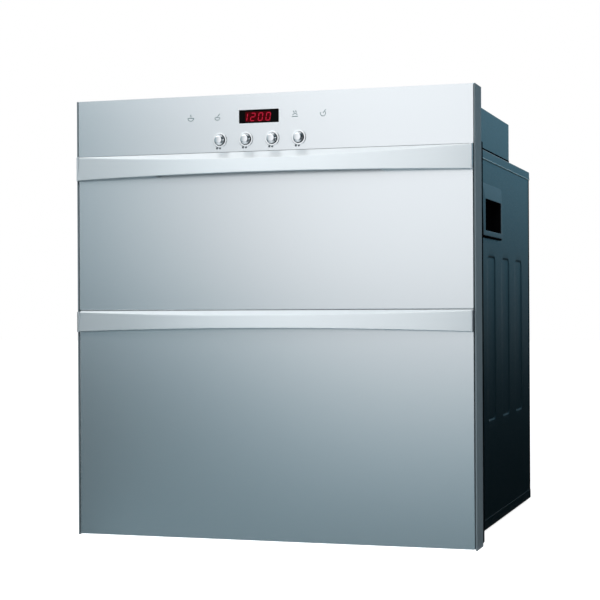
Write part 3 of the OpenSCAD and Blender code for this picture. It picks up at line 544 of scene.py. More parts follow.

# %% [markdown]
# A small cap closes each end of a handle, and a thin plate closes the cap. On the lower
# handle that plate is dark grey, as painted shade on that end. Both caps of one handle are a
# single CAD node, so they are one piece here too.

# %% Handle caps


def mirrored(shells):
    """The same shells again on the other side of the middle plane x = 0."""
    return shells + [(points * (-1, 1, 1), faces) for points, faces in shells]


END_PLATE = mm(0.9)
for level in LEVELS:
    node = level + "_handle_caps"
    raise_top, raise_foot, edge_fall = HANDLE_SHAPES[level][:3]
    corner = high(node) + (0, 0, raise_top - edge_fall)
    inner = np.array([high(level + "_handle")[0], low(node)[1], low(node)[2] + raise_foot])
    plate_from = corner[0] - END_PLATE
    block = soft_box(inner, (plate_from, *corner[1:]), mm(0.3), "x")
    end = soft_box((plate_from, *inner[1:]), corner, mm(0.35), "x")
    add_piece(node + "_pair", mirrored([block]), cap_grey, node)
    # The lower handle's end plates take the dark frame grey as painted shade; the upper ones keep the cap's
    # grey.
    add_piece(node + "_ends", mirrored([end]), frame_grey if level == "lower" else cap_grey,
              body=body_of[node], slot="handle_cap")

# %% [markdown]
# ## Drawer fronts and fascia
#
# A drawer front is a sheet formed into a shallow tray whose open side faces the cabinet.
# One outline serves the whole skin. It starts as the inner face, goes back along the inner
# sides, turns round the rear edge and comes forward to a small round bend at the face. Its
# foot hangs a little lower than the CAD model's, which has room for play, so that the gap
# below it is as narrow as the real one.

# %% Drawer fronts
SHEET, BEND, FRONT_DROP = mm(1.0, 1.4, 0.7)


def formed_front(level):
    """The skin of one drawer, a sheet tray: its outline is set in by the sheet's thickness on the inside."""
    node = level + "_front"
    lowest, highest = low(node) - (0, 0, FRONT_DROP), high(node) + (0, 0, HANDLE_SHAPES[level][0])
    shape = box_outline(lowest[[0, 2]], highest[[0, 2]], mm(1.8), steps=4)
    turn = np.linspace(0, math.pi / 2, 5)
    bend = np.stack([BEND * (1 - np.cos(turn)), lowest[1] + BEND * (1 - np.sin(turn))], axis=1)
    rows = [(SHEET, lowest[1] + SHEET), (SHEET, highest[1]), (0, highest[1]), *bend]
    return add_piece(node + "_skin", [capped(carried(shape, rows, "y"))], satin, node)


for level in LEVELS:
    formed_front(level)

# %% [markdown]
# The fascia has a window and four button holes, and many other nodes have holes too. For
# those, a copy of the CAD node's own mesh is merged, because its triangles are loose, and
# a Bevel modifier rounds its edges. The copy keeps every hole where the CAD model has it.

# %% Softened copies of CAD nodes


def softened(node, finish_of_node, width, segments=2, limit=35.0):
    """A copy of a CAD node with its doubles merged, its flat faces joined and its edges bevelled."""
    mesh = nodes[node].data.copy()
    mesh.materials.clear()
    work = bmesh.new()
    work.from_mesh(mesh)
    bmesh.ops.remove_doubles(work, verts=work.verts, dist=mm(0.002))
    bmesh.ops.dissolve_limit(work, angle_limit=math.radians(1.0), verts=work.verts, edges=work.edges)
    work.to_mesh(mesh)
    work.free()
    piece = seat(node + "_soft", mesh, finish_of_node, (node,))
    bevel = piece.modifiers.new("edges", "BEVEL")
    bevel.width, bevel.segments = width, segments
    bevel.limit_method, bevel.angle_limit = "ANGLE", math.radians(limit)
    bevel.harden_normals = True
    return piece


# Node, finish, and width of the bevel in millimetres
SOFT = [("fascia_panel", satin, 0.9), ("front_frame", frame_grey, 0.3), ("back_panel", zinc, 0.25),
        ("control_box", paint, 0.25), ("side_trim_left", strip_grey, 0.5),
        ("side_trim_right", strip_grey, 0.5),
        ("upper_liner", stainless, 0.2), ("lower_liner", stainless, 0.2),
        ("upper_inner_panel", stainless, 0.3), ("lower_inner_panel", stainless, 0.3),
        ("upper_drawer_frame", zinc, 0.35), ("lower_drawer_frame", zinc, 0.35),
        ("upper_drip_tray", stainless, 0.25), ("lower_drip_tray", stainless, 0.25),
        ("uv_lamp_guard", stainless, 0.3), ("uv_lamp_holders", white_part, 1.0),
        ("heater_block", fin_metal, 0.2), ("fan_housing", fan_black, 0.8),
        ("terminal_block", white_part, 0.8), ("ozone_generator", white_part, 1.2),
        ("tact_switches", black, 0.3), ("display_module", digit_block, 0.4)]
for node, look, width in SOFT:
    softened(node, look, mm(width))
print("softened", len(SOFT), "nodes")

# %% [markdown]
# ## Cabinet
#
# The side panel is one sheet with three tall panels pressed into it. Its surface is a
# height field: the signed distance to the nearest pressed outline, put through a smooth
# step, gives the depth at each point. The grid is fine only where the sheet bends, and its
# lines run along the edges of the grip's opening, whose quads are simply left out. A
# Solidify modifier then gives the sheet its thickness.

# %% Side panels
RIB_WIDTH, RIB_FOOT, RIB_HEIGHT, RIB_RADIUS, RIB_DEEP = mm(60, 162, 249, 10, 1.0)
RIB_MIDDLES = front_y + mm(213, 328, 443)
SLOPE, FINE_STEP, STEP_Y, STEP_Z, PANEL_SHEET = mm(4, 0.6, 9, 12, 0.8)
GRIP_LOW, GRIP_HIGH = (np.array([front_y + mm(along), mm(up)]) for along, up in ((157, 445), (268, 494)))


def grid_lines(knots, dense, wide):
    """Places along an edge: between two knots they stand close where the sheet bends, else wide apart."""
    counts = [max(2, round((b - a) / (FINE_STEP if close else wide)) + 1)
              for a, b, close in zip(knots, knots[1:], dense)]
    stretches = [np.linspace(a, b, count)[:-1] for a, b, count in zip(knots, knots[1:], counts)]
    return np.concatenate(stretches + [[knots[-1]]])


def pressed_depth(y, z):
    """Depth of the pressing: the smooth step 3t^2 - 2t^3 of the distance inside a rounded rectangle."""
    middle = RIB_MIDDLES[np.abs(y[..., None] - RIB_MIDDLES).argmin(axis=-1)]
    across = np.abs(y - middle) - RIB_WIDTH / 2
    along = np.abs(z - RIB_FOOT - RIB_HEIGHT / 2) - RIB_HEIGHT / 2
    reach = np.stack([across, along], axis=-1) + RIB_RADIUS
    distance = np.linalg.norm(np.maximum(reach, 0), axis=-1) + np.minimum(reach.max(axis=-1), 0) - RIB_RADIUS
    t = np.clip(-distance / SLOPE, 0, 1)
    return RIB_DEEP * t * t * (3 - 2 * t)


def side_panel(side, sign):
    """The outer skin of one side as a grid over y and z, without the quads inside the grip's opening."""
    node = "side_panel_" + side
    (_, y0, z0), (_, y1, z1) = low(node), high(node)
    skin_x = max(abs(low(node)[0]), abs(high(node)[0]))
    corner = RIB_RADIUS + SLOPE
    edges = np.concatenate([[m - RIB_WIDTH / 2, m - RIB_WIDTH / 2 + corner, m + RIB_WIDTH / 2 - corner,
                             m + RIB_WIDTH / 2] for m in RIB_MIDDLES])
    knots_y = np.unique(np.round(np.concatenate([[y0, y1, GRIP_LOW[0], GRIP_HIGH[0]], edges]), 6))
    knots_z = np.array([z0, RIB_FOOT, RIB_FOOT + corner, RIB_FOOT + RIB_HEIGHT - corner,
                        RIB_FOOT + RIB_HEIGHT, GRIP_LOW[1], GRIP_HIGH[1], z1])
    middle_y = (knots_y[:-1] + knots_y[1:]) / 2
    near = np.abs(middle_y[:, None] - RIB_MIDDLES)
    dense_y = ((near < RIB_WIDTH / 2) & (near > RIB_WIDTH / 2 - corner)).any(axis=1)
    dense_z = [False, True, False, True, False, False, False]
    lines_y, lines_z = grid_lines(knots_y, dense_y, STEP_Y), grid_lines(knots_z, dense_z, STEP_Z)
    y, z = np.meshgrid(lines_y, lines_z)
    x = sign * (skin_x - pressed_depth(y, z))
    quads = grid_faces(*y.shape, wrap_columns=False)
    centre = np.stack([y.ravel()[quads].mean(axis=1), z.ravel()[quads].mean(axis=1)], axis=1)
    quads = quads[~((centre > GRIP_LOW) & (centre < GRIP_HIGH)).all(axis=1)]
    points = np.stack([x, y, z], axis=-1).reshape(-1, 3)
    mesh = mesh_of(node, [(points, [quads if sign > 0 else quads[:, ::-1]])], outwards=False)
    piece = seat(node + "_sheet", mesh, paint, (node,))
    wall = piece.modifiers.new("sheet", "SOLIDIFY")
    wall.thickness, wall.offset = PANEL_SHEET, -1
    print(piece.name, len(quads), "quads")
    return piece


for side, sign in (("right", 1), ("left", -1)):
    side_panel(side, sign)

# %% [markdown]
# The top cover and the base pan are sheets folded down and up over the side panels. Both
# are a thin U, drawn as a polygon whose outer bends are wider than its inner ones, and
# carried along the cabinet's depth. Their edges turn out a little.

# %% Top cover and base pan


def folded_sheet(node, fold_down):
    """A U of sheet: the outline of its section in x and z, carried along y."""
    lowest, highest = low(node), high(node)
    outer, inner = highest[0], highest[0] - PANEL_SHEET
    way, (flat, edge) = (1, (highest[2], lowest[2])) if fold_down else (-1, (lowest[2], highest[2]))
    inside = flat - way * PANEL_SHEET
    flare_out, flare_up = mm(0.6, 1.0) if fold_down else mm(0.0, 0.4)
    bend, lip = edge + way * flare_up, outer + flare_out
    corners = np.array([(lip, edge), (outer, bend), (outer, flat), (-outer, flat), (-outer, bend),
                        (-lip, edge), (-inner, edge), (-inner, inside), (inner, inside), (inner, edge)])
    radius = mm(0.05, 0.05, 1.6, 1.6, 0.05, 0.05, 0.25, 0.8, 0.8, 0.25)
    if not fold_down:
        corners, radius = corners[::-1], radius[::-1]
    rows = round_rims(lowest[1], highest[1], mm(0.2), 2)
    return add_piece(node + "_sheet", [capped(carried(outline(corners, radius), rows, "y"))], paint, node)


folded_sheet("top_cover", True)
folded_sheet("base_pan", False)

# %% [markdown]
# Thin trim finishes the folded sheets: a bead along the foot of the top cover's skirt,
# whose lighter paint is a painted highlight, black strips down the rear corners, a black
# strip behind each side trim as a painted shadow line, and another round the control box's
# foot as painted shade in the gap under the box. Each is a small rounded box or bar beside
# its CAD node, and has no node of its own.

# %% Hem, strips and painted shadow lines
BLACK_TRIM = {"body": "cabinet", "slot": "black_moulding"}
HEM_RADIUS, HEM_UP, HEM_END, STRIP_WIDE, STRIP_IN, STRIP_PROUD, STRIP_BELOW = mm(0.9, 0.6, 1, 7, 0.6, 0.3, 13)
FLANGE_IN, FLANGE_LONG, FLANGE_FOOT, FLANGE_SHORT, FOOT_HIGH, FOOT_PROUD = mm(14, 12, 4, 0.5, 3.2, 0.3)
cover_low, cover_high = low("top_cover"), high("top_cover")
hem_z = cover_low[2] + HEM_UP
# The bead's lighter paint is a painted highlight along the foot of the skirt.
hem = [bars([(sign * cover_high[0], cover_low[1] + HEM_END, hem_z)],
            [(sign * cover_high[0], cover_high[1] - HEM_END, hem_z)], HEM_RADIUS) for sign in (-1, 1)]
add_piece("top_cover_hem", hem, hem_highlight, body="cabinet", slot="painted_cabinet")
panel_low, panel_high = low("side_panel_right"), high("side_panel_right")
strip = soft_box((panel_high[0] - STRIP_IN, panel_high[1] - STRIP_WIDE, panel_low[2]),
                 (panel_high[0] + STRIP_PROUD, panel_high[1], panel_high[2] - STRIP_BELOW), mm(0.2), "z")
add_piece("rear_edge_strips", mirrored([strip]), shade_black, **BLACK_TRIM)
flange_x, flange_y = high("front_frame")[:2]
flange_out = high("side_trim_right")[0] - FLANGE_SHORT
# Near-black strip behind each side trim: a painted shadow line at the gap beside the side panel.
flange_shadow = soft_box((flange_x - FLANGE_IN, flange_y, FLANGE_FOOT),
                  (flange_out, flange_y + FLANGE_LONG, cover_high[2]), mm(0.8), "z")
add_piece("flange_shadow_strip", mirrored([flange_shadow]), shade_black, **BLACK_TRIM)
box_low, box_high = low("control_box"), high("control_box")
# Near-black band round the control box's foot: painted shade in the gap under the box.
foot = soft_box((box_low[0] - FOOT_PROUD, box_low[1], box_low[2]),
                (box_high[0] + FOOT_PROUD, box_high[1] + FOOT_PROUD, box_low[2] + FOOT_HIGH), mm(0.1), "z")
add_piece("control_box_foot_shade", [foot], shade_black, **BLACK_TRIM)

# %% [markdown]
# The hand grip is a cup with a flange, and a coloured plate on the flange. The cup and
# flange are near-black as painted shade: the deep hole, and the shadow edge in front of the
# plate and below it. Both are one outline that changes as it goes. The plate is not flat:
# it stands out further at its foot than at its top, and the flange shows as that painted
# shadow edge in front of it and below it.

# %% Hand grips
PLATE, PLATE_FOOT, RIM = mm(1.1, 2.5, 0.8)
MOUTH_OUT = mm(-6, -0.6, 9, 0.8)


def grip_rows(stations, sign, face, step):
    """Rows of round-cornered rectangles.

    A depth is measured from the middle plane or, where the last word of a station says so, from the
    plate's surface, which slopes out towards its foot.
    """
    rows = []
    for box, radius, deep, from_surface in stations:
        points = box_outline(box[:2], box[2:], mm(radius), steps=5)[0]
        low_share = np.clip((face[2] - points[:, 1]) / (face[2] - step), 0, 1)
        surface = face[0] + (face[1] - face[0]) * low_share
        x = surface - deep if from_surface else np.full(len(points), deep)
        rows.append(np.stack([sign * x, points[:, 0], points[:, 1]], axis=1))
    return np.array(rows)


def grip(side, sign):
    """The cup with its flange, near-black as painted shade, and the plate on the flange."""
    node = "grip_bezel_" + side
    lowest, highest = low(node), high(node)
    deep, proud = sorted([abs(lowest[0]), abs(highest[0])])
    skin = high("side_panel_right")[0]
    face = (skin + mm(1.8), proud, highest[2])
    draw_in = np.array([1, 1, -1, -1])
    flange = np.array([lowest[1], lowest[2], highest[1], highest[2]])
    front_plate = flange + (0, PLATE_FOOT, 0, 0)
    mouth = np.concatenate([GRIP_LOW, GRIP_HIGH])
    cup, wall = mouth + mm(0.1) * draw_in, mouth + mm(2) * draw_in
    base = [(cup + mm(1) * draw_in, 3, deep, False), (cup, 3, deep + mm(1), False), (cup, 3, skin, False),
            (flange, 4, skin, False), (flange, 4, PLATE + mm(0.1), True),
            (flange + mm(0.1) * draw_in, 4, PLATE, True), (wall, 3, PLATE, True),
            (wall, 3, deep + mm(4), False), (wall + mm(2) * draw_in, 3, deep + mm(2), False)]
    edge = wall + MOUTH_OUT
    cover = [(edge, 2, PLATE, True), (front_plate, 3, PLATE, True), (front_plate, 3, RIM, True),
             (front_plate + 0.3 * RIM * draw_in, 3, 0.3 * RIM, True),
             (front_plate + RIM * draw_in, 3, 0.0, True), (edge - RIM * draw_in, 2, 0.0, True),
             (edge - 0.3 * RIM * draw_in, 2, 0.3 * RIM, True), (edge, 2, RIM, True)]
    step = GRIP_HIGH[1]
    # The cup's near-black finish is painted shade: the deep hole, and the shadow edges in front of and below
    # the plate.
    add_piece(node + "_cup", [capped(grip_rows(base, sign, face, step))], shade_black, **BLACK_TRIM)
    return add_piece(node + "_plate", [hooped(grip_rows(cover, sign, face, step))], grip_paint, node)


for side, sign in (("right", 1), ("left", -1)):
    grip(side, sign)

# %% [markdown]
# ## Display
#
# A smoked window lies in the fascia, and red figures show through it. A figure has seven
# strokes. Each stroke is a bar with pointed ends, and a lit figure is the few that it
# needs. The whole block leans a little, as such displays do. The strokes are thin plates on
# the face of the window, so that they stay crisp in every view. A wide, very dim plate
# under them is the glow of the block round the figures.

# %% Display window
lens_low, lens_high = low("display_window"), high("display_window")
LIP = mm(2)
mouth = box_outline(lens_low[[0, 2]] + LIP, lens_high[[0, 2]] - LIP, mm(1.0), steps=4)
lens_rows = [(0, front_y + mm(1)), *round_rims(front_y + mm(1), lens_low[1], mm(0.25), 2)[3:]]
lip_part = soft_box((lens_low[0], front_y + mm(1), lens_low[2]), lens_high, mm(0.4))
add_piece("display_glass", [capped(carried(mouth, lens_rows, "y")), lip_part], lens_black, "display_window")

# %% Seven strokes
DIGIT_WIDE, DIGIT_TALL, DIGIT_PITCH, STROKE, STROKE_GAP = mm(5.9, 10.6, 11.6, 1.15, 0.25)
FIGURES_AT, GLOW_LOW, GLOW_HIGH = mm(-6.9, -6.2), mm(-20.5, -7.6), mm(17.5, 6.6)
LEAN = math.tan(math.radians(9))
STROKES = {"top": ((0, 2), (1, 2)), "high_right": ((1, 2), (1, 1)), "low_right": ((1, 1), (1, 0)),
           "foot": ((0, 0), (1, 0)), "low_left": ((0, 1), (0, 0)), "high_left": ((0, 2), (0, 1)),
           "middle": ((0, 1), (1, 1))}
FIGURES = {"0": "top high_right low_right foot low_left high_left", "1": "high_right low_right",
           "2": "top high_right middle low_left foot"}


def pointed_bar(start, end):
    """Six corners of a stroke: its two points, and both sides half a stroke in from them."""
    start, end = np.array(start) * (DIGIT_WIDE, DIGIT_TALL / 2), np.array(end) * (DIGIT_WIDE, DIGIT_TALL / 2)
    along = (end - start) / np.linalg.norm(end - start)
    side = np.array([-along[1], along[0]]) * STROKE / 2
    start, end = start + along * STROKE_GAP, end - along * STROKE_GAP
    near, far = start + along * STROKE / 2, end - along * STROKE / 2
    corners = np.array([start, near - side, far - side, end, far + side, near + side])
    return corners + np.stack([corners[:, 1] * LEAN, np.zeros(6)], axis=1)


def plate(shape, face_y, proud):
    """A thin plate on the face at face_y: an outline carried forward, from just inside the face."""
    return capped(carried(shape, [(0, face_y + mm(0.02)), (0, face_y - proud)], "y"))


display_mid = (lens_low[[0, 2]] + lens_high[[0, 2]]) / 2
digits = []
for column, figure in enumerate("1200"):
    corner = display_mid + FIGURES_AT + (DIGIT_PITCH * (column - 1.5), 0)
    digits += [plate(outline(pointed_bar(*STROKES[name]) + corner, mm(0.12), 2), lens_low[1], mm(0.08))
               for name in FIGURES[figure].split()]
add_piece("display_digits", digits, digit_red, body="cabinet", slot="digit_block")
glow = box_outline(display_mid + GLOW_LOW, display_mid + GLOW_HIGH, mm(1.0))
add_piece("display_glow", [plate(glow, lens_low[1], mm(0.02))], digit_dim, body="cabinet", slot="digit_block")

# %% [markdown]
# ## Printed marks
#
# Four small symbols stand beside the display, and two points under each button. They are
# generic pictures of a bowl, a cup, a heated tray and a drop. Each is a few strokes with a
# constant width: a line through some points, moved half the width to both sides.

# %% Symbols


def stroke(points, width=mm(0.95)):
    """A ribbon along a line: each point moved half the width both ways along the line's normal."""
    points = np.asarray(points, dtype=float)
    along = np.gradient(points, axis=0)
    along /= np.linalg.norm(along, axis=1, keepdims=True)
    side = np.stack([-along[:, 1], along[:, 0]], axis=1) * width / 2
    shape = np.concatenate([points - side, (points + side)[::-1]])
    return shape, np.zeros_like(shape)


def arc(middle, radius, start, end, steps=18):
    """Points on a circle, in millimetres, from one angle to another in degrees."""
    angle = np.radians(np.linspace(start, end, steps))
    return mm(*middle) + mm(radius) * np.stack([np.cos(angle), np.sin(angle)], axis=1)


def ruled(*ends):
    """The two ends of a straight line, in millimetres."""
    return mm(*ends).reshape(2, 2)


def wave(x, foot, top):
    """A rising wavy line: a sine across its height."""
    z = np.linspace(foot, top, 12)
    return np.stack([x + 0.6 * np.sin((z - foot) * 2.0), z], axis=1) / 1000


SYMBOLS = [(-118.4, [arc((0, 0.5), 4.6, 190, 350), ruled(-4.8, 0, 4.8, 0), wave(0, 1.5, 5)]),
           (-76.9, [arc((-0.5, -0.5), 3.8, 185, 355), ruled(-4.3, -0.6, 3.3, -0.6),
                    ruled(-0.5, 0.8, 3.6, 5.0)]),
           (40.3, [ruled(-4.6, -3.6, 4.6, -3.6), arc((0, -3.0), 3.6, 20, 160), wave(-1.6, 1.6, 4.8),
                   wave(1.6, 1.6, 4.8)]),
           (82.4, [arc((-0.6, -0.8), 3.8, 150, 400), ruled(-0.6, -0.6, 3.9, 4.8)])]
SYMBOL_Z, MARK_PROUD = mm(608.4, 0.03)
marks = []
for x, lines in SYMBOLS:
    for line in lines:
        shape, normals = stroke(line + (mm(x), SYMBOL_Z))
        marks.append(plate((shape, normals), front_y, MARK_PROUD))
add_piece("printed_symbols", marks, print_green, body="cabinet", slot="satin_front")

# %% Points under the buttons
POINT_HALF, POINT_Z = mm(1.5, 563.7)
BUTTONS = ["button_1", "button_2", "button_3", "button_4"]
button_x = [(low(name)[0] + high(name)[0]) / 2 for name in BUTTONS]
button_z = (low("button_1")[2] + high("button_1")[2]) / 2
points = [plate(box_outline((x - POINT_HALF, POINT_Z - POINT_HALF), (x + POINT_HALF, POINT_Z + POINT_HALF),
                            mm(0.3)), front_y, MARK_PROUD)
          for middle in button_x for x in middle + mm(-4.3, 0.1)]
add_piece("printed_points", points, print_dark, body="cabinet", slot="satin_front")

# %% [markdown]
# ## Buttons
#
# A button is a turned chrome cap. Its face is nearly flat, a shallow parabola. A quadratic
# Bezier curve rounds it over into a cone. Behind its collar it has a wider keeper that stops
# it from falling out, and a plunger that reaches the switch. A near-black ring in the narrow
# gap between each cap and its collar is painted shade for that gap.

# %% Buttons
CAP_RADIUS, DOME_HEIGHT, FACE_RADIUS, FACE_FALL = mm(7.5, 4, 4.9, 0.3)
KEEPER_RADIUS, KEEPER_THICK, PLUNGER_RADIUS, PLUNGER_LONG = mm(8.9, 1.2, 1.5, 3)


def button_profile(tip, tail):
    """(radius, y) of the button from its tip back: the face, a Bezier curve into the cone, then the shank."""
    radius = np.linspace(mm(0.2), FACE_RADIUS, 7)
    face = np.stack([radius, tip + FACE_FALL * (radius / FACE_RADIUS) ** 2], axis=1)
    t = np.linspace(0, 1, 6)[1:, None]
    near, far = face[-1], np.array([FACE_RADIUS + mm(0.9), tip + FACE_FALL + mm(1.0)])
    bend = near + (mm(0.45), mm(0.05))
    shoulder = (1 - t) ** 2 * near + 2 * t * (1 - t) * bend + t ** 2 * far
    keeper = tail - PLUNGER_LONG - KEEPER_THICK
    shank = [(CAP_RADIUS - mm(0.15), tip + DOME_HEIGHT - mm(0.2)), (CAP_RADIUS, tip + DOME_HEIGHT + mm(0.25)),
             (CAP_RADIUS, keeper), (KEEPER_RADIUS, keeper),
             (KEEPER_RADIUS, keeper + KEEPER_THICK), (PLUNGER_RADIUS, keeper + KEEPER_THICK),
             (PLUNGER_RADIUS, tail - mm(0.3)), (PLUNGER_RADIUS - mm(0.3), tail)]
    return np.concatenate([face, shoulder, shank])


for name, x in zip(BUTTONS, button_x):
    profile = button_profile(low(name)[1], high(name)[1])
    add_piece(name + "_cap", [turned(profile, (x, button_z), "y", 56)], chrome, name)


def turned_ring(corners, radius, centre, axis, steps=56):
    """A turned ring: a closed section of (radius, depth) corners, rounded, and turned round an axis."""
    return hooped(circled(outline(corners, radius)[0], centre, axis, steps))


collar_low, collar_high = low("button_collars"), high("button_collars")
flange = (collar_high[2] - collar_low[2]) / 2
BORE_RADIUS, GAP_PLAY = CAP_RADIUS + mm(0.7), mm(0.1)
collar_section = [(BORE_RADIUS, collar_low[1]), (flange - mm(0.6), collar_low[1]), (flange, front_y),
                  (mm(9.5), front_y), (mm(9.5), collar_high[1]), (BORE_RADIUS, collar_high[1])]
collar_bends = mm(0.3, 0.5, 0.1, 0.1, 0.2, 0.2)
collars = [turned_ring(collar_section, collar_bends, (x, button_z), "y") for x in button_x]
add_piece("button_collar_rings", collars, collar_metal, "button_collars")
# Near-black rings in the gaps round the caps: painted shade.
gap_from, gap_to, gap_front, gap_back = (CAP_RADIUS + GAP_PLAY, BORE_RADIUS + GAP_PLAY,
                                         front_y - mm(0.3), front_y + mm(0.5))
gap_section = [(gap_from, gap_front), (gap_to, gap_front), (gap_to, gap_back), (gap_from, gap_back)]
gaps = [turned_ring(gap_section, mm(0.05), (x, button_z), "y") for x in button_x]
add_piece("button_gap_shade_rings", gaps, shade_black, **BLACK_TRIM)

# %% [markdown]
# ## Boards and wiring gear
#
# The boards sit behind the fascia and in the control box. A bare green plate would look
# unfinished once the cover is off, so each gets its own few components: chips, relays,
# capacitors and a row of resistors.

# %% Boards
for node in ("control_board", "power_board"):
    softened(node, board_green, mm(0.2))
CHIPS = [(-46, 588, 22, 9), (-12, 590, 14, 14), (14, 584, 9, 7), (30, 598, 12, 6)]
RELAYS = [(8, 10, 19, 15, 15), (30, 10, 19, 15, 15), (118, 78, 20, 12, 18), (10, 84, 28, 8, 12)]
CANS = [(70, 96, 5, 20), (84, 96, 5, 20), (130, 20, 8, 26), (112, 30, 4, 12)]
RESISTORS_X = mm(*range(-60, 36, 8))
board_y = high("control_board")[1]
chips = [soft_box((mm(x), board_y, mm(z)), (mm(x + wide), board_y + mm(2.2), mm(z + tall)), mm(0.3))
         for x, z, wide, tall in CHIPS]
chips.append(bars([(x, board_y + mm(1.0), mm(578)) for x in RESISTORS_X],
                  [(x, board_y + mm(1.0), mm(583)) for x in RESISTORS_X], mm(1.0)))
add_piece("control_board_chips", chips, black, **BLACK_TRIM)
supply = np.array([*low("power_board")[:2], high("power_board")[2]])
relays = [soft_box(supply + mm(x, y, 0), supply + mm(x + wide, y + long, tall), mm(0.8), "z")
          for x, y, wide, long, tall in RELAYS]
cans = [turned([(mm(0.3), supply[2] + mm(tall)), (mm(r - 0.8), supply[2] + mm(tall)),
                (mm(r), supply[2] + mm(tall - 0.8)), (mm(r), supply[2])], supply[:2] + mm(x, y), "z", 32)
        for x, y, r, tall in CANS]
add_piece("power_board_relays", relays + cans, black, **BLACK_TRIM)

# %% [markdown]
# The transformer is a stack of steel plates with a copper winding through it. Its
# section is a plain block, and the winding is one wire hooped round the core again and
# again. The terminal block gets its three clamp screws.

# %% Transformer and terminals
core_low, core_high = low("transformer"), high("transformer")
core_mid = (core_low + core_high) / 2
plates = [soft_box((core_low[0], y, core_low[2]), (core_high[0], y + mm(0.86), core_high[2]), mm(0.2))
          for y in np.arange(core_mid[1] - mm(8), core_mid[1] + mm(7.9), mm(1.0))]
add_piece("transformer_plates", plates, can_steel, "transformer", slot="transformer_core")
bobbin = box_outline(core_mid[1:] - mm(11.6, 11.6), core_mid[1:] + mm(11.6, 11.6), mm(5), steps=5)
winding = [hoop(bobbin, mm(0.55), core_mid[0] + mm(x), "x") for x in np.arange(-14.3, 14.4, 1.1)]
add_piece("transformer_winding", winding, copper, body="cabinet", slot="transformer_core")
clamp_low, clamp_high = low("terminal_block"), high("terminal_block")
clamp_mid, clamp_top = (clamp_low + clamp_high)[:2] / 2, clamp_high[2] - mm(4)
clamp = [(mm(0.2), clamp_top), (mm(2.1), clamp_top), (mm(2.1), clamp_top - mm(5))]
clamps = [turned(clamp, clamp_mid + mm(dx, 0), "z", 20) for dx in (-10, 0, 10)]
add_piece("terminal_screws", clamps, screw_steel, body="cabinet", slot="screw_steel")

# %% Cable gland
gland_low, gland_high = low("cable_gland"), high("cable_gland")
wall = high("control_box")[1]
BORE, NECK, RING = mm(4, 7, 12)
gland_section = [(BORE, gland_low[1]), (NECK, gland_low[1]), (NECK, wall - mm(3.8)), (RING, wall - mm(3.8)),
                 (RING, wall - mm(0.8)), (NECK, wall - mm(0.8)), (NECK, wall), (RING, wall),
                 (RING, wall + mm(3)), (mm(9.4), wall + mm(3.6)), (mm(7.6), gland_high[1] - mm(1)),
                 (mm(6.4), gland_high[1]), (BORE, gland_high[1])]
centre = (gland_low[[0, 2]] + gland_high[[0, 2]]) / 2
add_piece("cable_gland_turned", [turned_ring(gland_section, mm(0.25), centre, "y", 48)], black, "cable_gland")

# %% [markdown]
# ## Lamp, motor and fan
#
# The ultraviolet lamp is a clear tube with a metal cap at each end. The fan's blades are
# thin aerofoils. A blade is a loop round its chord, carried out from the hub: the chord
# turns flatter towards the tip, and its middle line is slightly curved.

# %% Lamp and motor
lamp_low, lamp_high = low("uv_lamp"), high("uv_lamp")
lamp_mid, lamp_r = (lamp_low + lamp_high)[1:] / 2, (lamp_high - lamp_low)[2] / 2
tube_r, cap_end = lamp_r - mm(0.3), lamp_high[0]
tube_from, tube_to = lamp_low[0] + mm(1), lamp_high[0] - mm(1)
tube = [(mm(0.4), tube_from), (tube_r, tube_from), (tube_r, tube_to), (mm(0.4), tube_to)]
add_piece("uv_lamp_tube", [turned(tube, lamp_mid, "x", 32)], quartz, "uv_lamp")
cap = [(mm(0.4), cap_end), (lamp_r - mm(0.6), cap_end), (lamp_r, cap_end - mm(0.8)),
       (lamp_r, cap_end - mm(16)), (lamp_r - mm(0.5), cap_end - mm(17)), (mm(0.4), cap_end - mm(17))]
caps = mirrored([turned(cap, lamp_mid, "x", 32)])
add_piece("uv_lamp_caps", caps, screw_steel, body="cabinet", slot="screw_steel")
axis_z = (low("fan_impeller")[2] + high("fan_impeller")[2]) / 2
motor_low, motor_high = low("fan_motor"), high("fan_motor")
SHAFT, CAN, CAN_LONG = mm(2, 18, 12)
can_front, can_back = motor_high[1] - CAN_LONG, motor_high[1]
can = [(SHAFT - mm(0.3), motor_low[1]), (SHAFT, motor_low[1] + mm(0.3)), (SHAFT, can_front),
       (CAN - mm(2), can_front), (CAN - mm(0.6), can_front + mm(0.6)), (CAN, can_front + mm(2)),
       (CAN, can_back - mm(0.5)), (CAN - mm(0.5), can_back)]
add_piece("fan_motor_can", [turned(can, (0.0, axis_z), "y")], can_steel, "fan_motor")

# %% Impeller
hub_front, hub_back = low("fan_impeller")[1], high("fan_impeller")[1]
HUB, TIP, CHORD, BLADES = mm(21), mm(57.3), mm(22), 7


def blade(turn):
    """One blade: at radius r its chord turns by the pitch and wraps round the axis by its width over r."""
    span = np.linspace(HUB - mm(1.5), TIP, 14)[:, None]
    share = (span - HUB) / (TIP - HUB)
    loop = np.linspace(0, 2 * math.pi, 28, endpoint=False)[None]
    chord = CHORD / 2 * np.cos(loop) * (1 - 0.12 * share)
    thick = mm(0.8) * np.sin(loop) * (1 - 0.35 * share)
    camber = mm(1.3) * (1 - np.cos(loop) ** 2)
    pitch = np.radians(36 - 10 * share)
    sideways = chord * np.cos(pitch) - (thick + camber) * np.sin(pitch)
    depth = chord * np.sin(pitch) + (thick + camber) * np.cos(pitch)
    angle = turn + sideways / span
    middle = (hub_front + hub_back) / 2
    return capped(place(span * np.cos(angle), axis_z + span * np.sin(angle), middle + depth, "y"))


hub_section = [(mm(2.05), hub_front), (HUB, hub_front), (HUB, hub_back), (mm(2.05), hub_back)]
wheel = [blade(2 * math.pi * i / BLADES) for i in range(BLADES)]
wheel.append(turned_ring(hub_section, mm(0.2, 2.5, 0.8, 0.2), (0.0, axis_z), "y"))
add_piece("fan_impeller_wheel", wheel, fan_black, "fan_impeller")
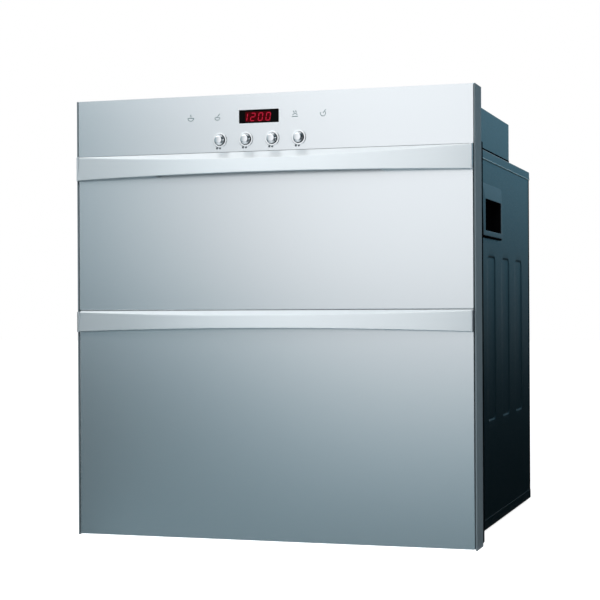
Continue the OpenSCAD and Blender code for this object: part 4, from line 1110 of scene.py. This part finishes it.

# %% [markdown]
# ## Screws, glides and seals
#
# Ten pan-head screws hold the back panel. Two thin dark bars in each head are the painted
# shade of its cross recess.
# The glides are low rubber discs. A seal is a soft bulb that runs round each cavity's
# mouth: a rounded section carried along a rectangle.

# %% Panel screws
screws_low, screws_high = low("panel_screws"), high("panel_screws")
HEAD = mm(3.5)
rows_z = np.linspace(screws_low[2] + HEAD, screws_high[2] - HEAD, 5)
spots = [(sign * (screws_high[0] - HEAD), z) for sign in (-1, 1) for z in rows_z]
head_top, CROSS, CROSS_DEEP = screws_high[1], mm(1.5), mm(0.35)
head = [(HEAD - mm(0.1), screws_low[1]), (HEAD, screws_low[1] + mm(0.3)),
        (HEAD - mm(0.5), head_top - mm(0.5)), (HEAD - mm(1.4), head_top - mm(0.08)),
        (mm(0.3), head_top - mm(0.03))]
add_piece("panel_screw_heads", [turned(head, spot, "y", 28) for spot in spots], screw_steel, "panel_screws")
# The cross is two dark bars just under the head's top: painted shade for the recess.
cross_y = head_top - CROSS_DEEP
cross = [bars([(x - CROSS, cross_y, z), (x, cross_y, z - CROSS)],
              [(x + CROSS, cross_y, z), (x, cross_y, z + CROSS)], mm(0.34), 6) for x, z in spots]
add_piece("panel_screw_crosses", cross, cross_shade, body="cabinet", slot="screw_steel")

# %% Glides
glides_low, glides_high = low("base_glides"), high("base_glides")
GLIDE = mm(16)
disc = [(GLIDE - mm(1.2), glides_low[2]), (GLIDE - mm(0.3), glides_low[2] + mm(0.4)),
        (GLIDE, glides_low[2] + mm(1.4)), (GLIDE, glides_high[2])]
feet = [turned(disc, (x, y), "z", 40) for x in (glides_low[0] + GLIDE, glides_high[0] - GLIDE)
        for y in (glides_low[1] + GLIDE, glides_high[1] - GLIDE)]
add_piece("base_glide_discs", feet, rubber, "base_glides")

# %% Seals
SEAL_WIDE = mm(7)
for level in LEVELS:
    node = level + "_seal"
    lowest, highest = low(node), high(node)
    path = box_outline(lowest[[0, 2]] + SEAL_WIDE / 2, highest[[0, 2]] - SEAL_WIDE / 2, mm(7), steps=6)
    bulb = box_outline((-SEAL_WIDE / 2, lowest[1]), (SEAL_WIDE / 2, highest[1]), mm(1.8), steps=4)[0]
    add_piece(node + "_bulb", [hooped(carried(path, bulb, "y"))], rubber, node)

# %% [markdown]
# ## Runners
#
# A telescopic runner is three steel channels that nest in each other. A channel is a C
# drawn with bend radii and carried along the runner. All three sizes come from the CAD
# boxes and the runner's width.

# %% Runners
RUNNER_WIDE, RUNNER_SHEET, RUNNER_PLAY = mm(12.7, 1.2, 0.5)


def channel(web, edge, foot, top, front, back):
    """A C channel in x and z: the web on one side, two flanges towards the edge, carried along y."""
    way = math.copysign(1, edge - web)
    inner = web + way * RUNNER_SHEET
    corners = np.array([(edge, foot), (web, foot), (web, top), (edge, top), (edge, top - RUNNER_SHEET),
                        (inner, top - RUNNER_SHEET), (inner, foot + RUNNER_SHEET),
                        (edge, foot + RUNNER_SHEET)])
    radius = mm(0.3, 1.9, 1.9, 0.3, 0.3, 0.7, 0.7, 0.3)
    if way > 0:
        corners, radius = corners[::-1], radius[::-1]
    return capped(carried(outline(corners, radius), round_rims(front, back, mm(0.2), 2), "y"))


for level in LEVELS:
    wall = high(level + "_rails_fixed")[0]
    drawer = wall - RUNNER_WIDE
    gap = RUNNER_SHEET + RUNNER_PLAY
    for part, web, edge in (("fixed", wall, drawer + mm(3)), ("mid", wall - gap, drawer + gap),
                            ("inner", drawer, wall - 2 * gap)):
        node = level + "_rails_" + part
        (_, front, foot), (_, back, top) = low(node), high(node)
        add_piece(node + "_channels", mirrored([channel(web, edge, foot, top, front, back)]), runner, node)

# %% [markdown]
# ## Baskets
#
# A basket is welded from round wire. Cross wires lie on the tray's rim and floor wires run
# along them. Posts stand round the sides, and two hoops tie them together. In the lower
# basket three rows of pegs hold plates upright. All straight wires are made in one go, as
# arrays of starts and ends.

# %% Baskets
WIRE, BITE, BASKET_HALF = mm(2), mm(3.2), mm(243.5)
FLOOR_WIRES, CROSS_WIRES, PEGS, PEG_HIGH, PEG_SPAN = 13, 7, 11, mm(78), 0.72
PEG_ROWS = (0.56, 0.70, 0.84)


def crossed(x, y, z):
    """Every combination of three lists of coordinates, as points."""
    return np.stack(np.meshgrid(x, y, z, indexing="ij"), axis=-1).reshape(-1, 3)


def basket(level, pegs):
    """The wire basket of one drawer."""
    node = level + "_basket"
    lowest, highest = low(node), high(node)
    foot, top = lowest[2] + WIRE, highest[2]
    y0, y1, rest = lowest[1] + BITE + WIRE, highest[1] - BITE - WIRE, highest[0]
    floor_x = np.linspace(-BASKET_HALF, BASKET_HALF, FLOOR_WIRES)
    cross_y = np.linspace(y0, y1, CROSS_WIRES)
    sides = np.array([-1, 1]) * (BASKET_HALF + BITE)
    wires = [(crossed(floor_x, [y0], [foot + BITE]), crossed(floor_x, [y1], [foot + BITE])),
             (crossed([-rest], cross_y, [foot]), crossed([rest], cross_y, [foot])),
             (crossed(sides, cross_y, [foot - WIRE]), crossed(sides, cross_y, [top])),
             (crossed(floor_x[1:-1:2], [y0 - BITE, y1 + BITE], [foot + BITE - WIRE]),
              crossed(floor_x[1:-1:2], [y0 - BITE, y1 + BITE], [top]))]
    if pegs:
        peg_y = y0 + (y1 - y0) * np.array(PEG_ROWS)
        peg_x = np.linspace(-1, 1, PEGS) * BASKET_HALF * PEG_SPAN
        wires += [(crossed([-rest], peg_y, [foot]), crossed([rest], peg_y, [foot])),
                  (crossed(peg_x, peg_y + BITE, [foot - WIRE]),
                   crossed(peg_x, peg_y + BITE, [foot + PEG_HIGH]))]
    shells = [bars(starts, ends, WIRE, 10) for starts, ends in wires]
    rim = box_outline((-BASKET_HALF, y0), (BASKET_HALF, y1), mm(2.6), steps=4)
    shells += [hoop(rim, WIRE, z, "z", 10) for z in ((foot + top) / 2, top - WIRE)]
    return add_piece(node + "_wires", shells, wire_chrome, node)


basket("upper", False)
basket("lower", True)

# %% [markdown]
# ## Floor, lights and background
#
# The floor is a plain pale sheet and the background is white. Both are white to the camera
# and to mirrors, through the Light Path node, and only moderately bright to everything
# else, so that they don't flood the object. Part of the floor's colour is plain diffuse,
# which keeps a soft shadow under the cabinet.

# %% Floor
FLOOR_HALF = 12.0


def white_to_eyes(tree, plain):
    """Mixes in white by Is Camera Ray, Is Glossy Ray or Is Transmission Ray, whichever is the largest."""
    path = tree.nodes.new("ShaderNodeLightPath")
    total = path.outputs["Is Camera Ray"]
    for name in ("Is Glossy Ray", "Is Transmission Ray"):
        either = tree.nodes.new("ShaderNodeMath")
        either.operation = "MAXIMUM"
        tree.links.new(total, either.inputs[0])
        tree.links.new(path.outputs[name], either.inputs[1])
        total = either.outputs[0]
    mix = tree.nodes.new("ShaderNodeMixShader")
    tree.links.new(total, mix.inputs["Fac"])
    tree.links.new(plain, mix.inputs[1])
    return mix


floor_material = bpy.data.materials.new("studio_floor")
floor_material.use_nodes = True
tree = floor_material.node_tree
matt = tree.nodes["Principled BSDF"]
matt.inputs["Base Color"].default_value = (0.80, 0.80, 0.80, 1.0)
matt.inputs["Roughness"].default_value = 0.9
matt.inputs["Specular IOR Level"].default_value = 0.0
lit = tree.nodes.new("ShaderNodeEmission")
lit.inputs["Strength"].default_value = 0.90
both = tree.nodes.new("ShaderNodeAddShader")
tree.links.new(matt.outputs[0], both.inputs[0])
tree.links.new(lit.outputs[0], both.inputs[1])
mix = white_to_eyes(tree, matt.outputs[0])
tree.links.new(both.outputs[0], mix.inputs[2])
tree.links.new(mix.outputs[0], tree.nodes["Material Output"].inputs["Surface"])
corners = np.array([(-1, -1, 0), (1, -1, 0), (1, 1, 0), (-1, 1, 0)]) * FLOOR_HALF
floor_mesh = mesh_of("studio_floor", [(corners, [np.array([[0, 1, 2, 3]])])], outwards=False)
floor = bpy.data.objects.new("studio_floor", floor_mesh)
floor.data.materials.append(floor_material)
scene.collection.objects.link(floor)
print("floor", 2 * FLOOR_HALF, "m wide")

# %% Background
world = bpy.data.worlds.new("studio")
world.use_nodes = True
tree = world.node_tree
soft = tree.nodes["Background"]
soft.inputs["Color"].default_value = (0.93, 0.97, 1.0, 1.0)
soft.inputs["Strength"].default_value = 0.30
white = tree.nodes.new("ShaderNodeBackground")
white.inputs["Color"].default_value = (1.0, 1.0, 1.0, 1.0)
mix = white_to_eyes(tree, soft.outputs[0])
tree.links.new(white.outputs[0], mix.inputs[2])
tree.links.new(mix.outputs[0], tree.nodes["World Output"].inputs["Surface"])
scene.world = world
scene.view_settings.view_transform = "Standard"

# %% [markdown]
# A satin front shows what stands in front of it, blurred. Here that is a large reflector
# whose light grows from the lower left to the upper right, bent like a studio sweep: it
# lies on the floor before the object and then stands up. Only glossy rays see it, so it
# neither hides the object nor shades the floor. Its light is worked out over the picture
# of the front: a line from the mirrored camera through a place on the reflector crosses
# the front at a share of its width and height. Above the fascia's share comes a bright
# band for the leaning faces of the handles, and over that a dimmer one for what looks
# further up. Dark cards on both sides give the chrome and the painted sides something
# dark to show. Two soft lamps do the rest.

# %% Lamps


def soft_lamp(name, at, towards, size, power, colour=(1.0, 1.0, 1.0)):
    """A rectangular area lamp at a place, turned so that its face looks at a target."""
    lamp = bpy.data.lights.new(name, "AREA")
    lamp.shape, lamp.size, lamp.size_y = "RECTANGLE", size[0], size[1]
    lamp.energy, lamp.color = power, colour
    holder = bpy.data.objects.new(name, lamp)
    scene.collection.objects.link(holder)
    away = np.array(at, dtype=float) - np.array(towards, dtype=float)
    away /= np.linalg.norm(away)
    right = np.cross((0, 0, 1), away)
    right /= np.linalg.norm(right)
    turn = np.eye(4)
    turn[:3, :3] = np.stack([right, np.cross(away, right), away], axis=1)
    turn[:3, 3] = at
    holder.matrix_world = Matrix(turn.tolist())
    holder.visible_camera = False
    return holder


key = soft_lamp("key", (0.6, -2.8, 2.4), (0.1, -0.2, 0.4), (1.6, 1.2), 60)
key.visible_glossy = False
soft_lamp("side", (0.66, 0.0, 1.2), (0.28, 0.05, 0.55), (0.45, 0.6), 0.6, (0.85, 0.95, 1.0))

# %% Reflector and dark cards
SWEEP_FOOT, SWEEP_WALL, SWEEP_TOP = -0.2646, -1.6, 2.6


def ease(start, stop, value):
    """The smooth step 3t^2 - 2t^3 from start to stop."""
    t = np.clip((value - start) / (stop - start), 0, 1)
    return t * t * (3 - 2 * t)


def glow_card(name, grid, light):
    """A surface that sends out its own light, seen by glossy and transmitted rays only."""
    quads = grid_faces(*grid.shape[:2], wrap_columns=False)
    mesh = mesh_of(name, [(grid.reshape(-1, 3), [quads])], outwards=False)
    shade = mesh.color_attributes.new("light", "FLOAT_COLOR", "POINT")
    colours = np.concatenate([light.reshape(-1, 3), np.ones((light[..., 0].size, 1))], axis=1)
    shade.data.foreach_set("color", colours.ravel())
    sheet = bpy.data.objects.new(name, mesh)
    scene.collection.objects.link(sheet)
    glow = bpy.data.materials.new(name)
    glow.use_nodes = True
    links = glow.node_tree.links
    read = glow.node_tree.nodes.new("ShaderNodeAttribute")
    read.attribute_name = "light"
    shine = glow.node_tree.nodes.new("ShaderNodeEmission")
    links.new(read.outputs["Color"], shine.inputs["Color"])
    links.new(shine.outputs[0], glow.node_tree.nodes["Material Output"].inputs["Surface"])
    mesh.materials.append(glow)
    sheet.visible_camera = sheet.visible_diffuse = sheet.visible_shadow = False
    return sheet


FRONT_WIDE, FRONT_HIGH = 0.6, 0.64
lying = np.stack([np.linspace(SWEEP_FOOT, SWEEP_WALL, 30), np.full(30, 0.0006)], axis=1)
standing = np.stack([np.full(40, SWEEP_WALL), np.linspace(0.02, SWEEP_TOP, 40)], axis=1)
profile = np.concatenate([lying, standing])
across = np.linspace(-3.0, 2.0, 80)
sweep = np.empty((len(profile), len(across), 3))
sweep[..., 0] = across
sweep[..., 1:] = profile[:, None]
mirrored_eye = np.array([CAMERA_AT[0], 2 * front_y - CAMERA_AT[1], CAMERA_AT[2]])
reach = (mirrored_eye[1] - front_y) / (mirrored_eye[1] - sweep[..., 1])
spot = mirrored_eye[[0, 2]] + (sweep[..., [0, 2]] - mirrored_eye[[0, 2]]) * reach[..., None]
share_x, share_z = spot[..., 0] / FRONT_WIDE + 0.5, spot[..., 1] / FRONT_HIGH
low_light = 0.16 + 0.06 * (1 - ease(0.0, 0.25, share_z)) + 0.40 * ease(0.30, 0.72, share_z)
low_light += 0.555 * ease(0.0, 0.48, share_z) * ease(0.0, 0.88 - 0.12 * ease(0.4, 0.7, share_z), share_x)
low_light += 3.0 * ease(1.16, 1.34, share_z) * (1 - 0.85 * ease(0.15, 0.95, share_x))
low_light *= (1 - 0.55 * (1 - ease(-0.12, 0.14, share_x))) * (1 - 0.9 * ease(1.25, 1.50, share_x))
swell = ease(-2.2, 0.0, share_x)
high_light = 1.3 * swell * (1 - 0.35 * ease(0.3, 1.2, share_x)) * (1 + 1.2 * ease(1.9, 2.8, share_z))


def mixed(share, start, stop):
    """Start, stop, or a mixture of both by a share."""
    return np.array(start) + (np.array(stop) - start) * share[..., None]


low_tint = mixed(ease(0.1, 0.9, low_light), [0.64, 1.0, 1.16], [0.98, 1.0, 1.02])
high_tint = mixed(ease(1.7, 2.6, share_z), [0.88, 1.0, 1.05], [0.99, 1.0, 1.01])
over = ease(1.32, 1.55, share_z)[..., None]
low_part, high_part = low_light[..., None] * low_tint, high_light[..., None] * high_tint
glow_card("reflector_sweep", sweep, low_part * (1 - over) + high_part * over)


def dark_sweep(name, foot, wall, y_range, top, top_light):
    """A dark floor beside the object and a wall behind it, whose light grows from nothing to its top."""
    across = np.concatenate([np.stack([np.linspace(foot, wall, 12), np.full(12, 0.003)], axis=1),
                             np.stack([np.full(24, wall), np.linspace(0.01, top, 24)], axis=1)])
    grid = np.empty((len(across), 4, 3))
    grid[..., [0, 2]] = across[:, None]
    grid[..., 1] = np.linspace(*y_range, 4)
    light = 0.005 + top_light * ease(0.0, top, grid[..., 2:])
    return glow_card(name, grid, light * np.array([0.38, 0.92, 1.24]))


dark_sweep("sweep_right", 0.282, 0.95, (-0.26, 9.0), 1.6, 1.3)
dark_sweep("sweep_front_right", 0.93, 0.95, (-1.59, -0.27), 2.4, 0.06)
dark_sweep("sweep_left", -0.282, -1.6, (-0.26, 9.0), 1.6, 0.40)
print("reflector points", sweep.shape[:2], "lamps", len(bpy.data.lights))
